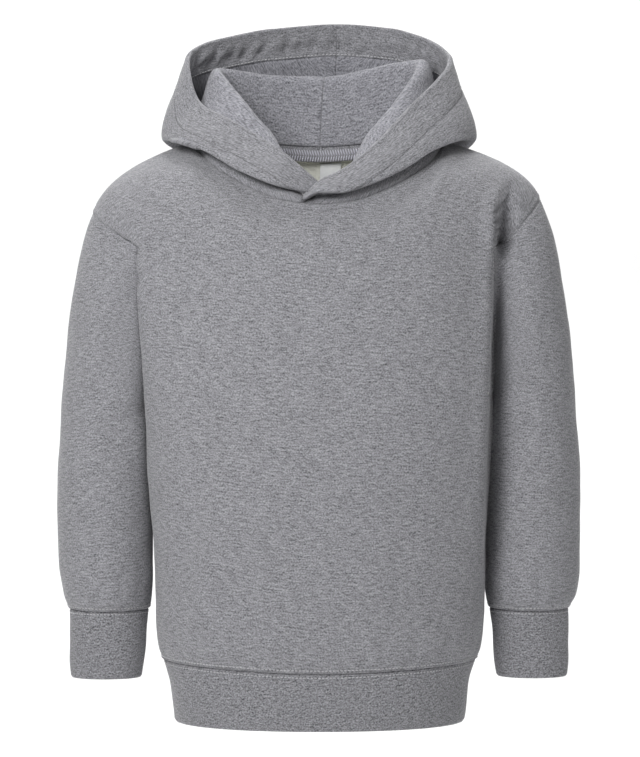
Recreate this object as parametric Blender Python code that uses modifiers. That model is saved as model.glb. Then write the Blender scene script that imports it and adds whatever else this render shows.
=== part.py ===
"""Toddler hoodie, size 3T: a plain fleece pullover with a lined two-panel hood.

It keeps its worn form, hollow, with no wearer. Metres, +Z up, front towards -Y,
wearer's left at +X. The origin is the middle of the neck opening, level with the
back-neck seam. Every surface below is the cloth's outer face; walls go inwards.
"""
import math

import bpy
import numpy as np

# ---- cloth ----
FLEECE = 0.0020
JERSEY = 0.0010
RIB = 0.0022
LABEL_CLOTH = 0.0010
SEAM_GAP = 0.0003

# ---- heights ----
HEM_SEAM = -0.3630
HEM_BOTTOM = -0.4070
HEM_SEAM_DROP = 0.0045          # the hem seam hangs lower at the centre front and back
UNDERARM = -0.1750
CHEST = -0.0720                 # the level where the armhole seam leaves the side of the chest
CUFF_SEAM = -0.3280
CUFF_BOTTOM = -0.3768
SLEEVE_LEVEL = -0.1900          # below this the sleeve's sections are level

# ---- armholes ----
ARMHOLE_DEPTH = 0.042           # how far the armhole seam lies from the side seam's plane
ARMHOLE_ROUNDNESS = 0.275       # small values square off the armhole's lower end
ARM_PRESS = 0.0030              # softness of the side where the sleeve rests on it
ARM_CLEARANCE = 0.0018          # between the body's side and the sleeve
YOKE_TURN = 0.4                 # share of the armhole's half that lies above the chest line
FOLD_FOOT = 0.1270              # where the valley between chest and sleeve reaches the chest line
FOLD_WIDTH = 0.0080
FOLD_SKIRT = 0.0120             # the valley fades out this near to the side seam's plane

# Each side's own values: the sleeve hangs further back on the wearer's left.
SIDES = {
    "left": {
        "sign": 1.0,
        "shoulder_point": (0.1585, 0.000, -0.0340),
        "shoulder_fall": (0.46, 0.0, -0.89),
        "arm_back": 0.008,
        "fold_depth": 0.0085,
        "fold_top": (0.1330, -0.0250),
    },
    "right": {
        "sign": -1.0,
        "shoulder_point": (0.1625, 0.000, -0.0455),
        "shoulder_fall": (0.30, 0.0, -0.95),
        "arm_back": 0.000,
        "fold_depth": 0.0040,
        "fold_top": (0.1380, -0.0560),
    },
}

# ---- neckline, by azimuth in degrees from the centre front ----
NECK_SIDE = 93.0                # azimuth where the shoulder seam meets the neckline
NECK_ACROSS = 0.72              # share of a panel's half top edge that is neckline

# ---- seams: the shares trimmed off a panel so that its neighbour stands clear ----
SEAM_CELL = 0.02                # a narrow cell beside a seam keeps the wall square to it
SIDE_TRIM = 0.0013
ARMHOLE_TRIM = 0.0065           # beside the sleeve, up to the chest line
CAP_TRIM = 0.0030               # and above it, round the shoulder
SHOULDER_TRIM = 0.0030
ARMHOLE_GAP = 0.0009            # the sleeve's seam edge stands this far out at the underarm
CAP_PULL = 1.00                 # pull at the sleeve cap's ends, as a share of its length
CAP_SLANT = 0.08                # outward slant where the cap's outer side becomes the sleeve

# ---- hood ----
FRONT_EDGES = {"left": -11.0, "right": -13.0}  # azimuths of the two front ends
BACK_EDGE = 179.80              # azimuth of the hood's centre seam, less half a gap
HOOD_GAP = 0.0005               # between the neckline and the hood's lower edge
FIRST_RISE = 0.007              # the hood stands up this far at its seam before it leans
ROLL_SAG = 0.15                 # the roll hangs this share of its width below its named height
ROLL_TILT = 0.55                # at the sides its inner edge is higher, as the shoulder is
RIDGE_LIFT = 0.60               # and the ridge stands this share of its width above its own
FOLD_FROM, FOLD_TO = 30.0, 180.0
RIDGE_WIDTHS = (0.0030, 0.0085)  # at the front and at the back
ROLL_WIDTHS = (0.0120, 0.0260)
OUTER_BULGES = (0.0030, 0.0200)
LEAN = 0.0130                   # the centre seam leans this far to the wearer's left at the rim
LEAN_FROM = 115.0               # azimuth from which the hood leans
LAP = 0.0045                    # the right hood piece lies this far inside the left one
LAP_FADE = (-2.0, 26.0)         # azimuths over which that offset fades out

# ---- hood lining ----
LINING_GAP = 0.0012
LINING_RISES = (0.02, 0.985)
LINING_TRIM = 0.25              # degrees that the lining stops short of the hood's centre seam
LINING_FROM = {"left": 15.0, "right": 30.0}  # nearer the front the lapped ends are unlined
ROLL_RISE, ROLL_REACH = 0.69, 0.10  # where the roll's bottom lies along a hood profile
SETTLE_PASSES = 9

# ---- neck label, as shares of the back panel ----
LABEL_SHARE = (0.005, 0.124)
LABEL_RISES = (2.74, 2.97)


class Sections:
    """A table with named columns and a row for each section, read on smooth curves."""

    def __init__(self, columns, rows, flat_start=False, flat_end=False):
        values = np.array(rows, dtype=float)
        self.keys = values[:, 0]
        self.columns = dict(zip(columns, values.T))
        self.flat_start, self.flat_end = flat_start, flat_end

    def at(self, name, where):
        """The column's value at a key, on a curve that never overshoots its rows."""
        keys, values = self.keys, self.columns[name]
        step = np.diff(keys)
        slope = np.diff(values) / step
        tangent = np.zeros(len(keys))
        same = slope[1:] * slope[:-1] > 0
        mean = 2 * slope[1:] * slope[:-1] / np.where(same, slope[1:] + slope[:-1], 1)
        tangent[1:-1] = np.where(same, mean, 0)
        tangent[0] = 0 if self.flat_start else slope[0]
        tangent[-1] = 0 if self.flat_end else slope[-1]
        where = np.clip(where, keys[0], keys[-1])
        row = np.clip(np.searchsorted(keys, where) - 1, 0, len(step) - 1)
        t = (where - keys[row]) / step[row]
        return hermite(
            values[row], tangent[row] * step[row], values[row + 1], tangent[row + 1] * step[row], t
        )


def hermite(start, start_pull, end, end_pull, t):
    """The cubic from start to end with the given pulls at its ends."""
    return (
        start * (1 + 2 * t) * (1 - t) ** 2
        + start_pull * t * (1 - t) ** 2
        + end * t * t * (3 - 2 * t)
        - end_pull * t * t * (1 - t)
    )


def mix(low, high, share):
    return low + (high - low) * share


def unit(vector):
    return vector / np.linalg.norm(vector, axis=-1, keepdims=True)


BODY = Sections(
    ("height", "centre_x", "half_width", "front", "back", "squareness"),
    (
        (-0.3630, 0.0000, 0.1120, 0.0775, 0.0765, 2.25),
        (-0.3550, 0.0000, 0.1150, 0.0820, 0.0800, 2.30),
        (-0.3400, 0.0000, 0.1172, 0.0860, 0.0835, 2.35),
        (-0.3000, 0.0000, 0.1190, 0.0885, 0.0850, 2.40),
        (-0.2400, 0.0000, 0.1230, 0.0880, 0.0845, 2.50),
        (-0.1850, -0.0010, 0.1275, 0.0860, 0.0835, 2.60),
        (-0.1300, -0.0020, 0.1320, 0.0830, 0.0825, 2.70),
        (-0.0720, -0.0040, 0.1370, 0.0745, 0.0800, 2.70),
    ),
)

SLEEVE = Sections(
    ("height", "inner", "outer", "half_depth"),
    (
        (-0.3280, 0.1222, 0.1787, 0.0290),
        (-0.3245, 0.1205, 0.1808, 0.0330),
        (-0.3180, 0.1195, 0.1836, 0.0360),
        (-0.3000, 0.1188, 0.1860, 0.0385),
        (-0.2360, 0.1190, 0.1877, 0.0405),
        (-0.1900, 0.1160, 0.1848, 0.0435),
        (-0.1300, 0.1090, 0.1785, 0.0450),
        (-0.0720, 0.1040, 0.1690, 0.0450),
    ),
)

CUFF = Sections(
    ("height", "inner", "outer", "half_depth"),
    (
        (-0.3768, 0.1272, 0.1778, 0.0225),
        (-0.3600, 0.1255, 0.1790, 0.0240),
        (-0.3400, 0.1235, 0.1790, 0.0260),
        (-0.3280, 0.1222, 0.1787, 0.0280),
    ),
)

HEM = Sections(
    ("height", "half_width", "front", "back", "squareness"),
    (
        (-0.4070, 0.1035, 0.0775, 0.0755, 2.20),
        (-0.3950, 0.1052, 0.0785, 0.0765, 2.20),
        (-0.3800, 0.1068, 0.0785, 0.0765, 2.25),
        (-0.3630, 0.1115, 0.0770, 0.0760, 2.25),
    ),
)

NECK = Sections(
    ("azimuth", "radius", "height"),
    (
        (0.0, 0.0560, -0.0420),
        (24.0, 0.0590, -0.0395),
        (43.0, 0.0660, -0.0320),
        (58.0, 0.0745, -0.0220),
        (74.0, 0.0840, -0.0085),
        (93.0, 0.0890, 0.0075),
        (118.0, 0.0800, 0.0090),
        (140.0, 0.0680, 0.0060),
        (180.0, 0.0580, 0.0030),
    ),
    flat_start=True,
    flat_end=True,
)

# How the front and back panels run up from the chest and arrive at their top edge,
# as directions, by the share of the panel's half width.
YOKE = Sections(
    ("across", "start_x", "start_y", "start_z", "end_x", "end_y", "end_z"),
    (
        (0.00, 0.00, 0.16, 1.00, 0.00, 0.45, 0.89),
        (0.35, 0.00, 0.16, 1.00, -0.22, 0.60, 0.75),
        (0.60, 0.02, 0.12, 1.00, -0.30, 0.80, 0.42),
        (0.72, 0.06, 0.10, 1.00, -0.22, 0.96, 0.12),
        (0.86, 0.20, 0.08, 1.00, 0.00, 1.00, 0.03),
        (1.00, 0.90, 0.10, 0.46, 0.00, 1.00, 0.00),
    ),
)
YOKE_PULL = 1.05                # pull at the yoke's ends, as a share of its length

# Hood profiles, by azimuth in degrees: from the neck seam up to the ridge, down to
# the roll, which at the back is the hanging pouch, and up to the rim.
HOOD_COLUMNS = (
    "azimuth", "ridge_out", "ridge_height", "roll_out", "roll_height", "rim_out", "rim_height",
)
HOODS = {
    "left": Sections(
        HOOD_COLUMNS,
        (
            (-11.0, 0.0585, -0.0395, 0.0610, -0.0395, 0.0612, -0.0375),
            (0.0, 0.0590, -0.0345, 0.0665, -0.0340, 0.0622, -0.0270),
            (13.0, 0.0590, -0.0325, 0.0675, -0.0340, 0.0600, -0.0205),
            (30.0, 0.0535, -0.0180, 0.0710, -0.0290, 0.0605, -0.0085),
            (48.0, 0.0520, 0.0010, 0.0800, -0.0195, 0.0630, 0.0070),
            (66.0, 0.0550, 0.0170, 0.0925, -0.0050, 0.0700, 0.0260),
            (84.0, 0.0590, 0.0320, 0.1110, 0.0035, 0.0870, 0.0490),
            (95.0, 0.0660, 0.0430, 0.1165, 0.0040, 0.0960, 0.0610),
            (106.0, 0.0755, 0.0545, 0.1175, 0.0018, 0.0995, 0.0705),
            (118.0, 0.0835, 0.0630, 0.1180, -0.0065, 0.0985, 0.0805),
            (132.0, 0.0800, 0.0630, 0.1170, -0.0220, 0.0960, 0.0885),
            (150.0, 0.0740, 0.0595, 0.1120, -0.0460, 0.0925, 0.0955),
            (180.0, 0.0700, 0.0530, 0.1060, -0.0640, 0.0880, 0.0995),
        ),
        flat_end=True,
    ),
    "right": Sections(
        HOOD_COLUMNS,
        (
            (-13.0, 0.0508, -0.0400, 0.0516, -0.0395, 0.0516, -0.0385),
            (0.0, 0.0508, -0.0370, 0.0526, -0.0345, 0.0520, -0.0280),
            (13.0, 0.0515, -0.0330, 0.0560, -0.0330, 0.0540, -0.0175),
            (30.0, 0.0530, -0.0170, 0.0710, -0.0285, 0.0580, -0.0040),
            (48.0, 0.0515, 0.0020, 0.0800, -0.0190, 0.0610, 0.0065),
            (66.0, 0.0545, 0.0190, 0.0925, -0.0050, 0.0735, 0.0195),
            (84.0, 0.0600, 0.0350, 0.1110, 0.0035, 0.0880, 0.0325),
            (95.0, 0.0670, 0.0440, 0.1165, 0.0040, 0.0970, 0.0575),
            (106.0, 0.0765, 0.0535, 0.1175, 0.0018, 0.1000, 0.0710),
            (118.0, 0.0830, 0.0575, 0.1180, -0.0065, 0.0950, 0.0810),
            (132.0, 0.0770, 0.0560, 0.1170, -0.0220, 0.0905, 0.0875),
            (150.0, 0.0720, 0.0540, 0.1120, -0.0460, 0.0875, 0.0945),
            (180.0, 0.0700, 0.0530, 0.1060, -0.0640, 0.0880, 0.0995),
        ),
        flat_end=True,
    ),
}


# ---------------------------------------------------------------- body
def drop(angle):
    """How far the hem seam hangs below its level at the sides."""
    return HEM_SEAM_DROP * np.cos(angle) ** 2


def sleeve_side(side, y, height):
    """Distance from the middle to the sleeve's inner face, where it lies by the body."""
    inner, outer = SLEEVE.at("inner", height), SLEEVE.at("outer", height)
    half = (outer - inner) / 2
    offset = (y - SIDES[side]["arm_back"]) / SLEEVE.at("half_depth", height)
    return inner + half * (1 - np.sqrt(np.clip(1 - offset**2, 0, 1))) - ARM_CLEARANCE


def press(x, y, height):
    """The body's side, pushed in softly where a sleeve rests against it."""
    for side, values in SIDES.items():
        sign = values["sign"]
        limit = sleeve_side(side, y, height)
        near = x * sign
        softer = -ARM_PRESS * np.logaddexp(-near / ARM_PRESS, -limit / ARM_PRESS)
        x = np.where(near > 0.05, softer * sign, x)
    return x


def superellipse(table, height, angle):
    """A level section; the angle is 0 at the centre front and grows towards +X."""
    power = table.at("squareness", height)
    across = np.abs(np.sin(angle)) / table.at("half_width", height)
    depth = np.where(np.cos(angle) > 0, table.at("front", height), table.at("back", height))
    radius = (across**power + (np.abs(np.cos(angle)) / depth) ** power) ** (-1 / power)
    return radius * np.sin(angle), -radius * np.cos(angle)


def body_ring(height, angle):
    x, y = superellipse(BODY, height, angle)
    x = press(x + BODY.at("centre_x", height), y, height)
    fade = np.clip((height - HEM_SEAM) / (UNDERARM - HEM_SEAM), 0, 1)
    z = height - drop(angle) * (1 - fade) ** 2
    return np.stack(np.broadcast_arrays(x, y, z), -1)


def armhole_reach(height):
    """How far in front of the side seam's plane the armhole seam lies at a height."""
    share = np.clip((height - CHEST) / (UNDERARM - CHEST), 0, 1)
    return ARMHOLE_DEPTH * (1 - share**2) ** ARMHOLE_ROUNDNESS


def edge_angle(height, facing):
    """The section angle of a panel's edge: its side seam or, higher up, its armhole."""
    reach = np.where(height > UNDERARM, armhole_reach(height), 0)
    depth = BODY.at("front" if facing > 0 else "back", height)
    power = BODY.at("squareness", height)
    x = BODY.at("half_width", height) * (1 - (reach / depth) ** power) ** (1 / power)
    return np.arctan2(x, reach)


def lower_panel(facing, across, height):
    """The panel below the chest line; across runs from -1 to 1, side to side."""
    angle = across * edge_angle(height, facing)
    return body_ring(height, angle if facing > 0 else math.pi - angle)


def neck_point(azimuth):
    """A point of the neckline; the azimuth in degrees is 0 in front, positive at +X."""
    turn = np.radians(azimuth)
    radius, height = NECK.at("radius", np.abs(azimuth)), NECK.at("height", np.abs(azimuth))
    return np.stack([radius * np.sin(turn), -radius * np.cos(turn), height], -1)


def neck_azimuth(facing, across):
    """The azimuth where a panel's column meets the neckline."""
    share = np.clip(np.abs(across) / NECK_ACROSS, 0, 1)
    front = share * NECK_SIDE
    back = 180.0 - share * (180.0 - NECK_SIDE)
    return np.where(across < 0, -1, 1) * (front if facing > 0 else back)


def shoulder_point(side, share):
    """A point of the shoulder seam, from the neckline (0) to the armhole (1)."""
    values = SIDES[side]
    mirror = np.array([values["sign"], 1.0, 1.0])
    start = neck_point(NECK_SIDE)
    end = np.array(values["shoulder_point"])
    length = np.linalg.norm(end - start)
    start_pull = np.array([0.93, 0.0, -0.27]) * length
    end_pull = np.array(values["shoulder_fall"]) * length
    return hermite(start, start_pull, end, end_pull, share[..., None]) * mirror


def top_edge(facing, across):
    """The panel's top edge: its neckline in the middle and its shoulder seams beside it."""
    points = neck_point(neck_azimuth(facing, across))
    share = np.clip((np.abs(across) - NECK_ACROSS) / (1 - NECK_ACROSS), 0, 1)
    for side, values in SIDES.items():
        on_shoulder = (share > 0) & (across * values["sign"] > 0)
        points = np.where(on_shoulder[..., None], shoulder_point(side, share), points)
    return points


def yoke_pull(across, facing, end):
    """The direction in which a column leaves the chest or arrives at the top edge."""
    share = np.abs(across)
    x, y, z = (YOKE.at(end + axis, share) for axis in ("_x", "_y", "_z"))
    return unit(np.stack([x * np.sign(across), y * facing, z], -1))


def arm_fold(points):
    """The soft valley between chest and sleeve, deeper on the wearer's left."""
    x, y, z = np.moveaxis(points, -1, 0)
    for values in SIDES.values():
        top_x, top_z = values["fold_top"]
        share = np.clip((top_z - z) / (top_z - CHEST + 0.02), 0, 1)
        centre = values["sign"] * mix(top_x, FOLD_FOOT, share)
        near = np.exp(-(((x - centre) / FOLD_WIDTH) ** 2))
        depth = values["fold_depth"] * near * share * (2 - share)
        y = y + np.where(y < -FOLD_SKIRT, depth, 0) * np.clip((-y - FOLD_SKIRT) / FOLD_SKIRT, 0, 1)
    return np.stack([x, y, z], -1)


def panel(facing, across, rise):
    """The front (facing 1) or back (-1). rise: 0 hem seam, 1 underarm, 2 chest, 3 top edge."""
    below = mix(HEM_SEAM, UNDERARM, np.clip(rise, 0, 1))
    quarter = np.clip(rise - 1, 0, 1) * math.pi / 2
    height = np.where(rise < 1, below, mix(UNDERARM, CHEST, 1 - np.cos(quarter)))
    lower = lower_panel(facing, across, height)
    start = lower_panel(facing, across, np.full_like(height, CHEST))
    end = top_edge(facing, across)
    length = np.linalg.norm(end - start, axis=-1, keepdims=True) * YOKE_PULL
    upper = hermite(
        start,
        yoke_pull(across, facing, "start") * length,
        end,
        yoke_pull(across, facing, "end") * length,
        np.clip(rise - 2, 0, 1)[..., None],
    )
    return arm_fold(np.where((rise > 2)[..., None], upper, lower))


# ---------------------------------------------------------------- sleeves and bands
def armhole(side, turn):
    """The armhole seam, from the shoulder point (0) by the front to the underarm (0.5)
    and up the back (1)."""
    sign = SIDES[side]["sign"]
    front = turn <= 0.5
    down = np.where(front, turn, 1 - turn) * 2
    rise = np.where(down < YOKE_TURN, 3 - down / YOKE_TURN, 2 - (down - YOKE_TURN) / (1 - YOKE_TURN))
    across = np.full_like(rise, sign)
    return np.where(front[..., None], panel(1, across, rise), panel(-1, across, rise))


# The sleeve's direction where it leaves the armhole, by the turn from the shoulder point.
CAP = Sections(
    ("turn", "x", "y", "z"),
    (
        (0.00, 0.30, 0.00, -0.95),
        (0.10, 0.50, -0.30, -0.80),
        (0.20, 0.72, -0.55, -0.42),
        (0.30, 0.80, -0.58, -0.15),
        (0.38, 0.76, -0.58, -0.28),
        (0.45, 0.66, -0.38, -0.64),
        (0.50, 0.60, 0.00, -0.80),
    ),
)


def tube_point(table, side, turn, height):
    """A point of a level section of a sleeve or cuff; turn 0 is outside, 0.25 in front."""
    values = SIDES[side]
    inner, outer = table.at("inner", height), table.at("outer", height)
    around = 2 * math.pi * turn
    x = (inner + outer) / 2 + (outer - inner) / 2 * np.cos(around)
    y = values["arm_back"] - table.at("half_depth", height) * np.sin(around)
    return np.stack(np.broadcast_arrays(values["sign"] * x, y, height), -1)


def sleeve(side, turn, fall):
    """fall: 0 at the armhole, 1 where the sections become level, 2 at the cuff seam."""
    sign = SIDES[side]["sign"]
    half = np.minimum(turn, 1 - turn)
    y_sign = np.where(turn <= 0.5, 1, -1)
    pull = unit(np.stack([CAP.at("x", half) * sign, CAP.at("y", half) * y_sign, CAP.at("z", half)], -1))
    stand_off = ARMHOLE_GAP * np.clip(2 * half / YOKE_TURN, 0, 1)
    start = armhole(side, turn) + pull * SEAM_GAP + np.array([sign, 0, 0]) * stand_off[..., None]
    end = tube_point(SLEEVE, side, turn, np.full_like(turn, SLEEVE_LEVEL))
    length = np.linalg.norm(end - start, axis=-1, keepdims=True) * CAP_PULL
    slant = sign * CAP_SLANT * (1 + np.cos(2 * math.pi * turn)) / 2
    arrival = np.stack(np.broadcast_arrays(slant, 0.0, -1.0), -1)
    cap = hermite(start, pull * length, end, arrival * length, np.clip(fall, 0, 1)[..., None])
    height = mix(SLEEVE_LEVEL, CUFF_SEAM + SEAM_GAP / 2, np.clip(fall - 1, 0, 1))
    tube = tube_point(SLEEVE, side, turn, height)
    return np.where((fall > 1)[..., None], tube, cap)


def cuff(side, turn, fall):
    return tube_point(CUFF, side, turn, mix(CUFF_SEAM - SEAM_GAP / 2, CUFF_BOTTOM, fall))


def hem_band(turn, fall):
    """A ring from the hem seam (0) to the hem (1); turn 0 is the centre front."""
    angle = 2 * math.pi * turn
    height = mix(HEM_SEAM, HEM_BOTTOM, fall)
    x, y = superellipse(HEM, height, angle)
    z = height - drop(angle) * (1 - fall) ** 2 - SEAM_GAP * (1 - fall)
    return np.stack(np.broadcast_arrays(x, y, z), -1)


# ---------------------------------------------------------------- hood
def bspline(points, share):
    """A clamped cubic B-spline through stacked control points (first axis), at shares 0..1."""
    count = len(points)
    knots = np.concatenate([[0.0] * 3, np.linspace(0, 1, count - 2), [1.0] * 3])
    share = np.clip(share, 0, 1 - 1e-9)
    weights = [((knots[i] <= share) & (share < knots[i + 1])).astype(float) for i in range(count + 3)]
    for degree in (1, 2, 3):
        following = []
        for i in range(count + 3 - degree):
            left = knots[i + degree] - knots[i]
            right = knots[i + degree + 1] - knots[i + 1]
            value = (share - knots[i]) / left * weights[i] if left else 0
            value = value + ((knots[i + degree + 1] - share) / right * weights[i + 1] if right else 0)
            following.append(value)
        weights = following
    return sum(weight[..., None] * point for weight, point in zip(weights, points))


def hood(side, azimuth, rise):
    """A point of a hood piece; rise goes from the neck seam (0) to the rim (1)."""
    table = HOODS[side]
    sign = SIDES[side]["sign"]
    radius, height = NECK.at("radius", np.abs(azimuth)), NECK.at("height", np.abs(azimuth))
    if side == "right":
        radius = radius - LAP * (1 - np.clip((azimuth - LAP_FADE[0]) / (LAP_FADE[1] - LAP_FADE[0]), 0, 1))
    back = np.clip((azimuth - FOLD_FROM) / (FOLD_TO - FOLD_FROM), 0, 1)
    flat = np.clip((azimuth + 11.0) / 40.0, 0.12, 1)
    ridge = mix(*RIDGE_WIDTHS, back) * flat
    roll = mix(*ROLL_WIDTHS, back) * flat
    bulge = mix(*OUTER_BULGES, back**3) * flat
    ridge_out, ridge_height = table.at("ridge_out", azimuth), table.at("ridge_height", azimuth)
    roll_out, roll_height = table.at("roll_out", azimuth), table.at("roll_height", azimuth)
    rim_out, rim_height = table.at("rim_out", azimuth), table.at("rim_height", azimuth)
    first = np.minimum(FIRST_RISE, (ridge_height - height) * 0.5)
    dip = roll_height - roll * ROLL_SAG
    inner_dip = dip + roll * ROLL_TILT * np.sin(np.radians(azimuth)) ** 2
    profile = (
        (radius, height + HOOD_GAP),
        (radius, height + first),
        (mix(radius, ridge_out - ridge / 2, 0.6), mix(height + first, ridge_height, 0.6)),
        (ridge_out - ridge / 2, ridge_height + ridge * RIDGE_LIFT),
        (ridge_out + ridge / 2, ridge_height + ridge * RIDGE_LIFT),
        (mix(ridge_out + ridge / 2, roll_out - roll, 0.5), mix(ridge_height, roll_height, 0.5)),
        (roll_out - roll, inner_dip),
        (roll_out, dip),
        (mix(roll_out, rim_out, 0.40) + bulge, mix(roll_height, rim_height, 0.40)),
        (rim_out + bulge * 0.25, mix(roll_height, rim_height, 0.85)),
        (rim_out, rim_height),
    )
    out, up = (bspline([np.asarray(point[i])[..., None] for point in profile], rise)[..., 0] for i in (0, 1))
    turn = np.radians(azimuth)
    back = np.clip((azimuth - LEAN_FROM) / (180.0 - LEAN_FROM), 0, 1)
    lean = LEAN * rise * back**2 * (3 - 2 * back)
    return np.stack([out * np.sin(turn) * sign + lean, -out * np.cos(turn), up], -1)


# ---------------------------------------------------------------- meshes
def steps(*stops):
    """Samples through (from, to, count) stretches, each joined to the last."""
    parts = [np.linspace(start, end, count + 1)[1:] for start, end, count in stops]
    return np.concatenate([[stops[0][0]], *parts])


NECK_STEPS = steps((0, NECK_ACROSS, 5))
HALF_ACROSS = np.concatenate([NECK_STEPS, [0.79, 0.86, 0.93, 1 - SEAM_CELL, 1]])
ACROSS = np.concatenate([-HALF_ACROSS[:0:-1], HALF_ACROSS])
RISES = np.concatenate([[0, 0.05], steps((0.2, 1, 4)), steps((1, 2, 4))[1:], [2.25, 2.5, 2.75, 2.95, 3]])
FALLS = np.concatenate([steps((0, 1, 6)), [1.3, 1.6, 1.85, 1.95, 2]])
BAND_FALLS = steps((0, 1, 3))
HOOD_RISES = steps((0, 1, 16))


def armhole_turns():
    """The turns round an armhole that match the panels' rows, so that seams share points."""
    rises = RISES[RISES >= 1][::-1]
    down = np.where(rises >= 2, (3 - rises) * YOKE_TURN, YOKE_TURN + (2 - rises) * (1 - YOKE_TURN))
    half = down / 2
    return np.concatenate([half, 1 - half[-2:0:-1]])


def hem_turns():
    quarter = HALF_ACROSS / 4
    half = np.concatenate([quarter, 0.5 - quarter[-2::-1]])
    return np.concatenate([half, 1 - half[-2:0:-1]])


def hood_azimuths(side):
    """The azimuths of the neckline's points, with the front edge and the centre seam added."""
    front = NECK_STEPS / NECK_ACROSS * NECK_SIDE
    back = 180.0 - NECK_STEPS[::-1] / NECK_ACROSS * (180.0 - NECK_SIDE)
    corner = [(back[0] + back[1]) / 2]
    return np.concatenate([[FRONT_EDGES[side]], front, corner, back[1:-1], [BACK_EDGE - 1.5, BACK_EDGE]])


def grid_normals(points):
    """Unit normals at the points of an open grid, from the faces round each."""
    faces = unit(np.cross(points[1:, 1:] - points[:-1, :-1], points[1:, :-1] - points[:-1, 1:]))
    total = np.zeros_like(points)
    for rows, columns in ((slice(1, None), slice(1, None)), (slice(1, None), slice(-1)),
                          (slice(-1), slice(1, None)), (slice(-1), slice(-1))):
        total[rows, columns] += faces
    return unit(total)


def shell(name, points, wall, material, closed=False, flip=False):
    """A cloth wall on a grid of outer points; closed joins the last column to the first."""
    rows, columns = points.shape[:2]
    index = np.arange(rows * columns).reshape(rows, columns)
    if closed:
        index = np.concatenate([index, index[:, :1]], 1)
    low, low_next, high, high_next = index[:-1, :-1], index[:-1, 1:], index[1:, :-1], index[1:, 1:]
    faces = np.stack([low, low_next, high_next, low, high_next, high], -1).reshape(-1, 3)
    if flip:
        faces = faces[:, ::-1]
    mesh = bpy.data.meshes.new(name)
    mesh.from_pydata(points.reshape(-1, 3).tolist(), [], faces.tolist())
    mesh.materials.append(material)
    mesh.shade_smooth()
    piece = bpy.data.objects.new(name, mesh)
    PIECES.objects.link(piece)
    solidify = piece.modifiers.new("Wall", "SOLIDIFY")
    solidify.thickness = wall
    solidify.offset = -1
    return piece


def cloth(name, colour, roughness):
    material = bpy.data.materials.new(name)
    material.use_nodes = True
    shader = material.node_tree.nodes["Principled BSDF"]
    shader.inputs["Base Color"].default_value = (*colour, 1)
    shader.inputs["Roughness"].default_value = roughness
    return material


def make_panels(material):
    across, rise = np.meshgrid(ACROSS, RISES, indexing="xy")
    trim = np.select([rise < 1, rise < 2.1], [SIDE_TRIM, ARMHOLE_TRIM], CAP_TRIM)
    across = across * (1 - trim)
    rise = np.where(np.abs(across) > NECK_ACROSS, np.minimum(rise, 3 - SHOULDER_TRIM), rise)
    shell("front", panel(1, across, rise), FLEECE, material)
    shell("back", panel(-1, across, rise), FLEECE, material, flip=True)


def make_sleeve(side, fleece, rib):
    flip = side == "right"
    turn, fall = np.meshgrid(armhole_turns(), FALLS, indexing="xy")
    shell("sleeve_" + side, sleeve(side, turn, fall), FLEECE, fleece, closed=True, flip=flip)
    turn, fall = np.meshgrid(armhole_turns(), BAND_FALLS, indexing="xy")
    shell("cuff_" + side, cuff(side, turn, fall), RIB, rib, closed=True, flip=flip)


def make_hem_band(material):
    turn, fall = np.meshgrid(hem_turns(), BAND_FALLS, indexing="xy")
    shell("hem_band", hem_band(turn, fall), RIB, material, closed=True, flip=True)


def settle(points):
    """Ease the lining where it turns up out of the roll, so that it hangs free of its bottom."""
    share = np.exp(-(((HOOD_RISES - ROLL_RISE) / ROLL_REACH) ** 2))[1:-1, None, None]
    for _ in range(SETTLE_PASSES):
        middle = (points[:-2] + points[2:]) / 2
        points = np.concatenate([points[:1], mix(points[1:-1], middle, share), points[-1:]])
    return points


def make_hood(side, fleece, jersey):
    flip = side == "right"
    azimuth, rise = np.meshgrid(hood_azimuths(side), HOOD_RISES, indexing="xy")
    points = hood(side, azimuth, rise)
    shell("hood_" + side, points, FLEECE, fleece, flip=flip)
    rises = np.clip(HOOD_RISES, *LINING_RISES)
    azimuths = np.minimum(hood_azimuths(side), BACK_EDGE - LINING_TRIM)
    azimuth, rise = np.meshgrid(azimuths, rises, indexing="xy")
    points = hood(side, azimuth, rise)
    inward = grid_normals(points) * (-1 if side == "left" else 1)
    points = settle(points + inward * (FLEECE + LINING_GAP))
    lined = azimuth[0] > LINING_FROM[side]
    shell("hood_lining_" + side, points[:, lined], JERSEY, jersey, flip=flip)


def make_label(material):
    across, rise = np.meshgrid(steps((*LABEL_SHARE, 2)), steps((*LABEL_RISES, 2)), indexing="xy")
    points = panel(-1, across, rise)
    points = points + grid_normals(points) * (FLEECE + 2 * SEAM_GAP)
    shell("neck_label", points, LABEL_CLOTH, material, flip=True)


def clear_scene():
    for item in list(bpy.data.objects):
        bpy.data.objects.remove(item, do_unlink=True)


clear_scene()
PIECES = bpy.data.collections.new("toddler_hoodie")
bpy.context.scene.collection.children.link(PIECES)
GREY_FLEECE = cloth("grey_fleece", (0.27, 0.27, 0.28), 0.95)
GREY_JERSEY = cloth("grey_jersey", (0.20, 0.21, 0.23), 0.90)
GREY_RIB = cloth("grey_rib", (0.24, 0.24, 0.25), 0.92)
WHITE_SATIN = cloth("white_satin", (0.80, 0.81, 0.82), 0.60)
make_panels(GREY_FLEECE)
make_hem_band(GREY_RIB)
for wearer_side in SIDES:
    make_sleeve(wearer_side, GREY_FLEECE, GREY_RIB)
    make_hood(wearer_side, GREY_FLEECE, GREY_JERSEY)
make_label(WHITE_SATIN)
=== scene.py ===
"""The toddler hoodie's look.

Dense cloth takes the solids' form and adds the creases, gathers, rolled seams, turned rim,
stitching and label. Metres, +Z up, front towards -Y, wearer's left at +X.
"""

import math

import bpy
import numpy as np
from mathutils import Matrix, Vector, noise
from mathutils.bvhtree import BVHTree
from mathutils.kdtree import KDTree


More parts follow.
